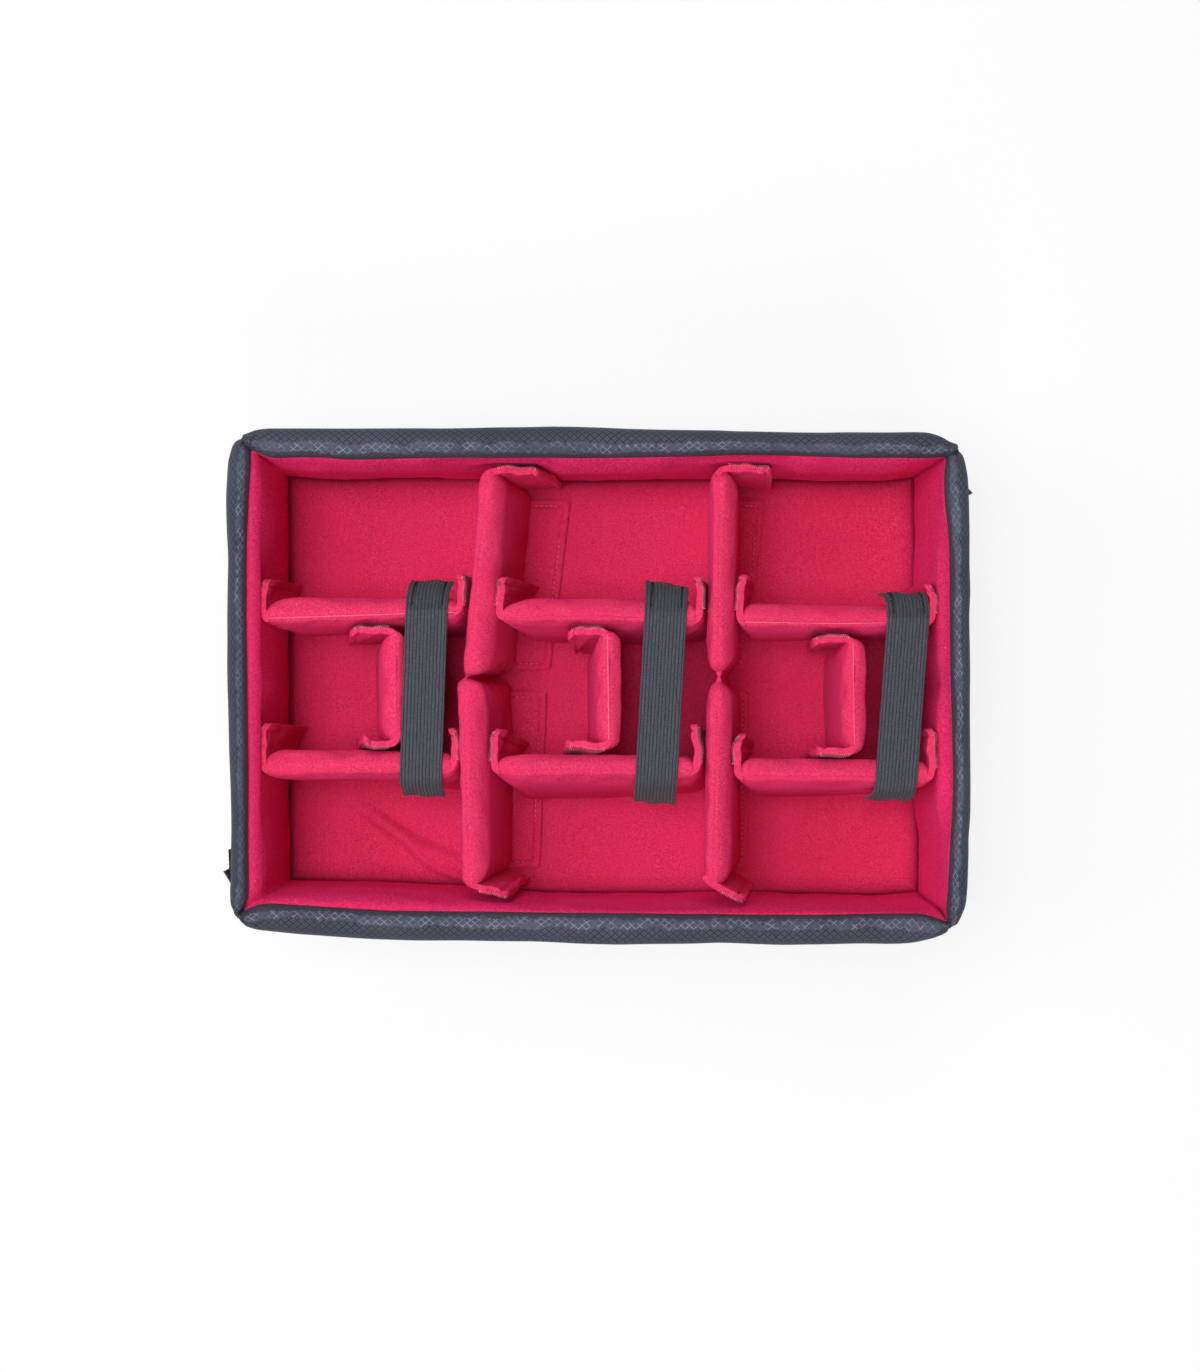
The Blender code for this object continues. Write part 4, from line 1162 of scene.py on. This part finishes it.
# Creases pressed into the rim: both ends, depth and half width
RIM_CREASES = (
    ((0.0650, -0.1325), (0.0715, -0.1415), 0.0018, 0.0016), ((0.0985, -0.1335), (0.1060, -0.1450), 0.0024, 0.0018),
    ((0.1540, -0.1350), (0.1600, -0.1410), 0.0012, 0.0018), ((-0.0040, -0.1335), (-0.0010, -0.1420), 0.0012, 0.0016),
    ((0.1800, 0.1352), (0.2090, 0.1372), 0.0016, 0.0014), ((0.1740, -0.1358), (0.2025, -0.1412), 0.0014, 0.0014),
    ((-0.2015, -0.1400), (-0.1930, -0.1305), 0.0020, 0.0014), ((-0.2070, -0.1330), (-0.2015, -0.1375), 0.0016, 0.0012),
    ((-0.2125, 0.1340), (-0.2050, 0.1265), 0.0012, 0.0013), ((-0.2130, 0.1290), (-0.2050, 0.1225), 0.0008, 0.0013),
    ((0.2125, -0.1200), (0.2050, -0.1290), 0.0010, 0.0014), ((0.0310, 0.1360), (0.0370, 0.1440), 0.0009, 0.0022),
    ((-0.0820, 0.1350), (-0.0760, 0.1420), 0.0008, 0.0020), ((-0.1510, 0.1345), (-0.1560, 0.1400), 0.0008, 0.0020),
)


def make_wall_cover():
    """The ripstop sleeve: up the outside, over the padded rim, in to the lining, folded over at its corners."""
    foot, run = foot_outline()
    outer, inner, side = rim_outlines()
    count, total = len(foot), run[-1]
    blocks = np.array([0, CORNER_STEPS + SIDE_STEPS[0], 2 * CORNER_STEPS + sum(SIDE_STEPS),
                       3 * CORNER_STEPS + sum(SIDE_STEPS) + SIDE_STEPS[0]])
    corners = run[blocks + CORNER_STEPS // 2]
    centres = run[blocks + CORNER_STEPS + np.array([SIDE_STEPS[0], SIDE_STEPS[1]] * 2) // 2]
    wall_z = np.concatenate([np.linspace(COVER_FOOT, 0.118, 14), [0.125]])
    turns = np.linspace(0, math.pi, 19)
    section = [(0.0, z) for z in wall_z] + [(t, None) for t in turns] + [(math.pi, 0.1303), (math.pi, TURNED_END)]
    piece, station, part = ring_piece("wall_cover_cloth", count, len(section) - 1)
    turn = np.array([s[0] for s in section])[part]
    fixed = np.array([np.nan if s[1] is None else s[1] for s in section])[part]
    kept, way = station % count, run[station]
    rim = np.sin(turn)
    share = (1 - np.cos(turn)) / 2
    on_wall = ~np.isnan(fixed) & (turn < 1)
    height = np.where(np.isnan(fixed), RIM_SPRING + (RIM_RISE - 0.0005) * rim, fixed)
    up = ease(height, 0.015, 0.110)[:, None]
    outline = foot[kept] + (outer[kept] - foot[kept]) * up
    across = inner[kept] - outline
    width = np.linalg.norm(across, axis=1, keepdims=True)
    spots = outline + across * share[:, None]
    # At the corners the long sides' cloth is tucked over the short sides'
    off = (way[:, None] - corners + total / 2) % total - total / 2
    pick = np.argmin(abs(off), axis=1)
    away = off[np.arange(len(off)), pick]
    toward_long = away * np.array([1, -1, 1, -1])[pick]
    gather = 1 - 0.92 * ease(share, 0.72, 1.0) * bell(away, 0.014)
    lap = np.where(toward_long > 0, 0.0016 * np.exp(-abs(away) / 0.007), -0.0016 * np.exp(-abs(away) / 0.006))
    slit = 0.0042 * bell(toward_long + 0.0009, 0.0013)
    puckers = 0.0010 * np.sin(away * 2 * math.pi / 0.0068 + pick * 1.9) * bell(away, 0.020) * (0.35 + 0.65 * share)
    base = np.column_stack([outer[kept], np.zeros(len(kept))])
    soft = wave(base, 9, 3) * 0.0010 + wave(base, 30, 4) * 0.0007
    dents = np.zeros(len(kept))
    for start, end, depth, wide in RIM_CREASES:
        near, beside, fade = fold_line(spots[:, 0], spots[:, 1], start, end, wide)
        dents += depth * near - 0.55 * depth * bell(beside - 2.1 * wide, wide * 1.1) * fade
    rim_lift = (soft * (0.4 + rim) + (puckers + lap) * rim - slit * (0.2 + rim) - dents * rim**0.5) * gather
    below = wave(np.column_stack([outer[kept], height]), 14, 8) * 0.0011
    below = below + 0.0009 * np.sin(away * 2 * math.pi / 0.012 + pick) * bell(away, 0.016) * ease(height, 0.06, 0.12)
    wall_lift = below * ease(height, 0.003, 0.03) + soft * 0.4 * ease(height, 0.09, 0.13)
    wall_lift = wall_lift - slit * 0.5 * ease(height, 0.02, 0.12)
    lift = np.where(on_wall, wall_lift, rim_lift)
    spots = spots - across / width * (lift * np.cos(turn))[:, None]
    height = height + lift * rim
    place(piece, np.column_stack([spots, height]))
    map_rim(piece, way, turn, fixed, spots, side[kept], centres)
    face_ring(piece)
    apply(piece, "SOLIDIFY", thickness=CLOTH, offset=-1)
    smooth(piece)
    settle(piece, RIPSTOP_RIM, "outer_wall_cover", "tray")


def face_ring(piece, inwards=False):
    """Merges a ring's two ends and turns its faces away from the tray's middle, or towards it."""
    with editing(piece) as mesh:
        mesh.remove_doubles(threshold=1e-6)
    spots, outward = points_of(piece), normals_of(piece)
    low = spots[:, 2] < 0.10
    facing = (spots[low, :2] * outward[low, :2]).sum()
    if (facing < 0) != inwards:
        with editing(piece) as mesh:
            mesh.flip_normals()


def map_rim(piece, way, turn, fixed, spots, side, centres):
    """Cloth coordinates: along the wall and up it, then over the rim with each side's threads kept straight."""
    on_long = side % 2 == 0
    sign = np.array([-1, -1, 1, 1])[side]
    flat = centres[side] + sign * np.where(on_long, spots[:, 0], spots[:, 1])
    on_rim = np.isnan(fixed) | (turn > 1)
    share = np.where(on_rim, ease(turn, 0.0, 0.8), 0)
    write_cloth_map(piece, way + (flat - way) * share, np.where(on_rim, RIM_START + turn / math.pi * RIM_REACH, fixed))


def lining_place(side, along_share, share):
    """The lining in plan on one wall: from its foot at the floor up to the rim, and flat where tabs press on it."""
    foot, top = (along(sides[side], along_share)[0] for sides in (FLOOR_SIDES, INNER_SIDES))
    rolled = np.interp(share, (0, 0.746, 0.873, 0.94, 0.983, 1), (0, 0, 0.07, 0.23, 0.6, 1))
    rise = rolled if side in (1, 2) else share
    spots = foot + (top - foot) * rise[:, None]
    axis = side % 2
    pressed = np.zeros(len(share))
    fade = 0.012 if side == 0 else 0.030
    for middle, half in PRESSED[side]:
        pressed = np.maximum(pressed, ease(abs(spots[:, axis] - middle), half + fade, half))
    plane = np.full(len(share), (INNER_Y, -INNER_X, -INNER_Y, INNER_X)[side])
    if side == 1:
        plane = plane + WEST_FEET * (1 - share)
    spots[:, 1 - axis] += (plane - spots[:, 1 - axis]) * pressed * (1 - ease(share, 0.84, 0.97))
    return spots, pressed


def make_wall_lining():
    """The crimson cloth on the four inner walls, a little loose between the tabs that press on it."""
    steps = (130, 90)
    side = np.concatenate([np.full(steps[k % 2], k) for k in range(4)])
    part_of_side = np.concatenate([np.arange(steps[k % 2]) / steps[k % 2] for k in range(4)])
    levels = np.concatenate([np.linspace(0, 0.80, 17), np.linspace(0.825, 1, 11)])
    count = len(side)
    piece, station, part = ring_piece("wall_lining_cloth", count, len(levels) - 1)
    kept, share = station % count, levels[part]
    height = LINING_FOOT + (LINING_TOP - LINING_FOOT) * share
    plan, pressed = np.zeros((len(kept), 2)), np.zeros(len(kept))
    for k in range(4):
        here = side[kept] == k
        plan[here], pressed[here] = lining_place(k, part_of_side[kept][here], share[here])
    at_corner = part_of_side[kept] == 0
    inward = INWARD[side[kept]] + np.where(at_corner[:, None], INWARD[(side[kept] + 3) % 4], 0)
    axis = side[kept] % 2
    spot_along = np.where(axis == 0, plan[:, 0], plan[:, 1])
    to_corner = np.where(axis == 0, 0.201, 0.133) - abs(spot_along)
    loose = ease(to_corner, 0.0, 0.035) * (1 - pressed)
    base = np.column_stack([plan, height])
    belly = np.where(side[kept] == 0, np.interp(share, *NORTH_BELLY), np.interp(share, *OTHER_BELLY))
    belly = belly * BELLY_DEPTHS[side[kept]] * (0.85 + 0.5 * wave(base * (1, 1, 0.2), 12, 11))
    creases = 0.0007 * wave(base, 40, 12) + 0.0005 * wave(base * (1, 1, 0.3), 90, 13)
    soft = ease(share, 1.0, 0.93) * ease(share, 0.0, 0.06)
    give = belly * loose + creases * (0.3 + 0.7 * loose) * soft
    tuck = ease(share, 0.975, 1.0) * 0.0010 + ease(share, 0.05, 0.0) * 0.0012
    place(piece, np.column_stack([plan + inward * (give - tuck + 0.0001)[:, None], height]))
    face_ring(piece, inwards=True)
    apply(piece, "SOLIDIFY", thickness=CLOTH, offset=-1)
    smooth(piece)
    mark_lining(piece)
    settle(piece, WALL_RED, "wall_lining", "tray")


def mark_lining(piece):
    """Painted shade along the lining's foot and down its four corners, kept in its crease attribute."""
    spots = points_of(piece)
    share = np.clip((spots[:, 2] - LINING_FOOT) / (LINING_TOP - LINING_FOOT), 0, 1)
    above = spots[:, 2] - 0.0122
    foot = bell(above, 0.0016) * 0.8 + bell(above, 0.010) * 0.2
    fold = np.zeros(len(spots))
    for k in range(4):
        low, high = FLOOR_SIDES[k][0], INNER_SIDES[k][0]
        away = np.linalg.norm(spots[:, :2] - low - (high - low) * share[:, None], axis=1)
        fold = np.maximum(fold, 0.7 * bell(away, 0.0022) * ease(share, 1.0, 0.9))
    # Painted shade in the junction and the corners, where the lining folds
    mark(piece, "crease", np.maximum(foot, fold))


def make_foam_board(side, name):
    """One wall's foam board between the lining and the sleeve, mitred at both ends, its top rounded under the rim."""
    foot, _ = foot_outline()
    rim, _, _ = rim_outlines()
    first = sum(SIDE_STEPS[k % 2] + CORNER_STEPS for k in range(side)) + CORNER_STEPS // 2
    picked = (first + np.arange(SIDE_STEPS[side % 2] + CORNER_STEPS + 1)) % len(foot)
    steps = (60, 44)[side % 2]
    outer_part = [(0.0, z) for z in (0.0018, 0.03, 0.06, 0.09, 0.12)]
    crown = [(t, 0.1290 + 0.0055 * math.sin(t)) for t in np.linspace(0, math.pi, 8)]
    inner_part = [(math.pi, z) for z in (0.126, 0.115, 0.10, 0.08, 0.05, 0.03, 0.0018)]
    section = outer_part + crown + inner_part
    section.append(section[0])
    board, across, run = grid(f"{name}_foam_board", len(section) - 1, steps)
    part = np.rint(across * (len(section) - 1)).astype(int)
    turn, z = np.array(section)[part].T
    spot = run * (len(picked) - 1)
    low, high = (np.stack([np.interp(spot, np.arange(len(picked)), line[picked, k]) for k in (0, 1)], axis=1)
                 for line in (foot, rim))
    outer = low + (high - low) * ease(z, 0.015, 0.110)[:, None]
    inner, _ = lining_place(side, run, np.clip((z - BOARD_FOOT) / (BOARD_TOP - BOARD_FOOT), 0, 1))
    gap = inner - outer
    gap /= np.linalg.norm(gap, axis=1, keepdims=True)
    outer, inner = outer + gap * 0.0040, inner - gap * 0.0026
    share = ((1 - np.cos(turn)) / 2)[:, None]
    place(board, np.column_stack([outer + (inner - outer) * share, z]))
    with editing(board) as mesh:
        mesh.remove_doubles(threshold=1e-6)
        mesh.fill_holes(sides=0)
        mesh.select_all(action="SELECT")
        mesh.normals_make_consistent(inside=False)
    bpy.ops.object.shade_smooth_by_angle(angle=math.radians(40))
    settle(board, FOAM, f"wall_foam_{name}", "tray")


# Soft wrinkles in the floor cloth: both ends, height and half width
FLOOR_WRINKLES = (
    ((-0.150, -0.079), (-0.088, -0.1130), 0.0046, 0.0040), ((-0.124, -0.100), (-0.086, -0.1225), 0.0036, 0.0034),
    ((-0.176, -0.086), (-0.110, -0.1215), 0.0016, 0.0070), ((0.100, -0.002), (0.128, 0.010), 0.0014, 0.0040),
    ((0.096, -0.030), (0.118, -0.018), 0.0013, 0.0035), ((-0.190, 0.074), (-0.150, 0.092), 0.0010, 0.0060),
    ((0.140, -0.100), (0.176, -0.074), 0.0010, 0.0060), ((0.120, 0.088), (0.165, 0.070), 0.0008, 0.0060),
)


def to_wall(x, y):
    """How far points of the floor are from the lining's foot."""
    gaps = []
    for side, (axis, sign) in enumerate(((1, 1), (0, -1), (1, -1), (0, 1))):
        line = FLOOR_SIDES[side][np.argsort(FLOOR_SIDES[side][:, 1 - axis])]
        wall = np.interp((x, y)[1 - axis], line[:, 1 - axis], line[:, axis])
        gaps.append(sign * (wall - (x, y)[axis]))
    return np.min(gaps, axis=0)


def make_floor_lining():
    """The floor's cloth, with its soft wrinkles, drawn down along its edge."""
    piece, across, up = grid("floor_lining_cloth", 260, 170)
    x, y = -0.2016 + across * 0.4076, -0.1348 + up * 0.2690
    spots = np.stack([x, y, np.full_like(x, FLOOR_TOP)], axis=1)
    rise = 0.0004 * wave(spots, 28, 5) + 0.00025 * wave(spots, 75, 6)
    for start, end, tall, wide in FLOOR_WRINKLES:
        near, beside, fade = fold_line(x, y, start, end, wide)
        rise = rise + 1.35 * tall * near - 0.45 * tall * bell(beside - 2.0 * wide, wide) * fade
    rise = rise - 0.0014 * bell(to_wall(x, y), 0.0026)
    spots[:, 2] += np.clip(rise, -0.0010, 0.0062) - CLOTH / 2
    place(piece, spots)
    thicken(piece, CLOTH)
    smooth(piece)
    # Painted shade on the floor cloth along the lining's foot, kept in its crease attribute
    gap = np.clip(to_wall(*points_of(piece)[:, :2].T), 0, None)
    mark(piece, "crease", 0.65 * bell(gap, 0.0014) + 0.35 * bell(gap, 0.0065))
    settle(piece, CLOTH_RED, "floor_lining", "tray")


def make_base_cover():
    """The ripstop cloth under the tray, sewn to the sleeve by a seam round its edge."""
    outer, _ = foot_outline()
    outer = outer[::4]
    piece, station, part = ring_piece("base_cover_cloth", len(outer), BASE_RINGS)
    share = part / BASE_RINGS
    flat = outer[station % len(outer)] * (1 - share * 0.9999)[:, None]
    spots = np.column_stack([flat, np.full(len(flat), BASE_MIDDLE)])
    spots[:, 2] += 0.00025 * wave(spots, 60, 9) + np.where(share < 0.05, 0.0003, 0)
    spots[:, 2] = np.where(part == BASE_RINGS, BASE_MIDDLE, spots[:, 2])
    place(piece, spots)
    write_cloth_map(piece, spots[:, 0], spots[:, 1])
    face_outwards(piece)
    thicken(piece, BASE_THICK)
    smooth(piece)
    settle(piece, RIPSTOP_GREY, "base_cover", "tray")


def make_side_trim():
    """The small outer flaps and the black tapes beside them."""
    for side, name in ((-1, "left"), (1, "right")):
        low, high = (np.array(c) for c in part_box(f"side_flap_{name}"))
        flap, out, rise = grid(f"side_flap_{name}_cloth", 8, 16)
        root = np.array([side * 0.2127, side * 0.1196])
        tip = np.array([high[0], 0.1128] if side > 0 else [low[0], -0.1090])
        spots = root + np.outer(out, tip - root)
        z = low[2] + rise * (high[2] - low[2])
        spots[:, 0] += side * 0.0008 * np.sin(out * math.pi) * np.sin(rise * math.pi)
        z = z + (rise - 0.5) * -0.004 * out
        place(flap, np.column_stack([spots, z]))
        write_cloth_map(flap, out * 0.0095, z)
        thicken(flap, 0.0011, 0.0003)
        smooth(flap)
        settle(flap, RIPSTOP_GREY, f"side_flap_{name}", f"side_flap_{name}")
        low, high = (np.array(c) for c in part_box(f"side_tape_{name}"))
        tape, out, rise = grid(f"side_tape_{name}_band", 12, 20)
        y = low[1] + out * (high[1] - low[1])
        slope = HALF_LENGTH - SIDE_BOW * (y / (HALF_WIDTH - SIDE_BOW - OUTER_CORNER)) ** 2
        x = side * (slope + 0.0028 + 0.0002 * np.cos(out * 40))
        place(tape, np.column_stack([x, y, low[2] + rise * (high[2] - low[2])]))
        thicken(tape, 0.0014, 0.0004)
        smooth(tape)
        settle(tape, TAPE_BLACK, f"side_tape_{name}", "tray")


# Floor, light and camera

AMBIENT = 0.09


def seen_share(tree):
    """1 where light goes to the camera, straight or off a gloss or through a pane, and 0 for all other light."""
    ray = add(tree, "ShaderNodeLightPath").outputs
    return reckon(tree, "MAXIMUM", ray["Is Camera Ray"],
                  reckon(tree, "MAXIMUM", ray["Is Glossy Ray"], ray["Is Transmission Ray"]))


def white_to_camera(tree, plain, share):
    """A surface that is white to the camera and in reflections, and plain to all other light."""
    white = add(tree, "ShaderNodeEmission", {"Color": (1, 1, 1, 1), "Strength": 1.0}).outputs[0]
    return add(tree, "ShaderNodeMixShader", {0: times(tree, seen_share(tree), share), 1: plain, 2: white}).outputs[0]


def make_stage():
    """The pale floor under the object and the soft light all round it."""
    only()
    bpy.ops.mesh.primitive_plane_add(size=6, location=(0, 0, -0.0004))
    floor = bpy.context.object
    floor.name = "pale floor"
    made = bpy.data.materials.new("pale floor")
    tree = clear_tree(made)
    plain = add(tree, "ShaderNodeBsdfDiffuse", {"Color": (0.88, 0.88, 0.89, 1)}).outputs[0]
    add(tree, "ShaderNodeOutputMaterial", {0: white_to_camera(tree, plain, 0.8)})
    dress(floor, made)
    world = bpy.data.worlds.new("soft studio")
    bpy.context.scene.world = world
    tree = clear_tree(world)
    seen = seen_share(tree)
    strength = add(tree, "ShaderNodeMapRange", {0: seen, 1: 0.0, 2: 1.0, 3: AMBIENT, 4: 1.0}).outputs[0]
    tint = blend_colours(tree, seen, (0.90, 0.92, 1.30, 1), (1, 1, 1, 1))
    sky = add(tree, "ShaderNodeBackground", {"Color": tint, "Strength": strength}).outputs[0]
    add(tree, "ShaderNodeOutputWorld", {0: sky})


def dress_floor_foam():
    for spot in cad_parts["floor_foam"].material_slots:
        spot.material = FOAM


def lamp(name, place_at, power, size, colour=(1, 1, 1)):
    light = bpy.data.lights.new(name, "AREA")
    light.energy, light.size, light.color = power, size, colour
    made = bpy.data.objects.new(name, light)
    made.location = place_at
    made.rotation_euler = (Vector((0, 0, 0.06)) - Vector(place_at)).to_track_quat("-Z", "Y").to_euler()
    bpy.context.collection.objects.link(made)


def make_camera():
    camera = bpy.data.cameras.new("camera")
    camera.sensor_width, camera.lens = 36, 56.9
    camera.clip_start, camera.clip_end = 0.05, 20
    made = bpy.data.objects.new("camera", camera)
    made.location = (0.0012, -0.0003, 1.400)
    bpy.context.collection.objects.link(made)
    bpy.context.scene.camera = made


bpy.context.scene.view_settings.view_transform = "Standard"
make_camera()
lamp("key", (-0.40, 0.05, 2.30), 28, 0.9)
lamp("side", (-1.45, 0.15, 1.65), 16, 1.2, (0.90, 0.90, 1.0))
lamp("fill", (0.20, -1.50, 1.60), 17, 1.2)
lamp("back fill", (0.00, 1.40, 1.70), 11, 1.2)
make_stage()

dress_floor_foam()
for side, name in enumerate(("north", "west", "south", "east")):
    make_foam_board(side, name)
make_wall_cover()
make_wall_lining()
make_floor_lining()
make_base_cover()
make_side_trim()
make_pads()
make_tabs()
for number in (1, 2):
    make_floor_flap(number, "upper", number)
    make_floor_flap(number, "lower", number + 5)
    make_hinge_web(number)
for number in (1, 2, 3):
    make_strap(number)
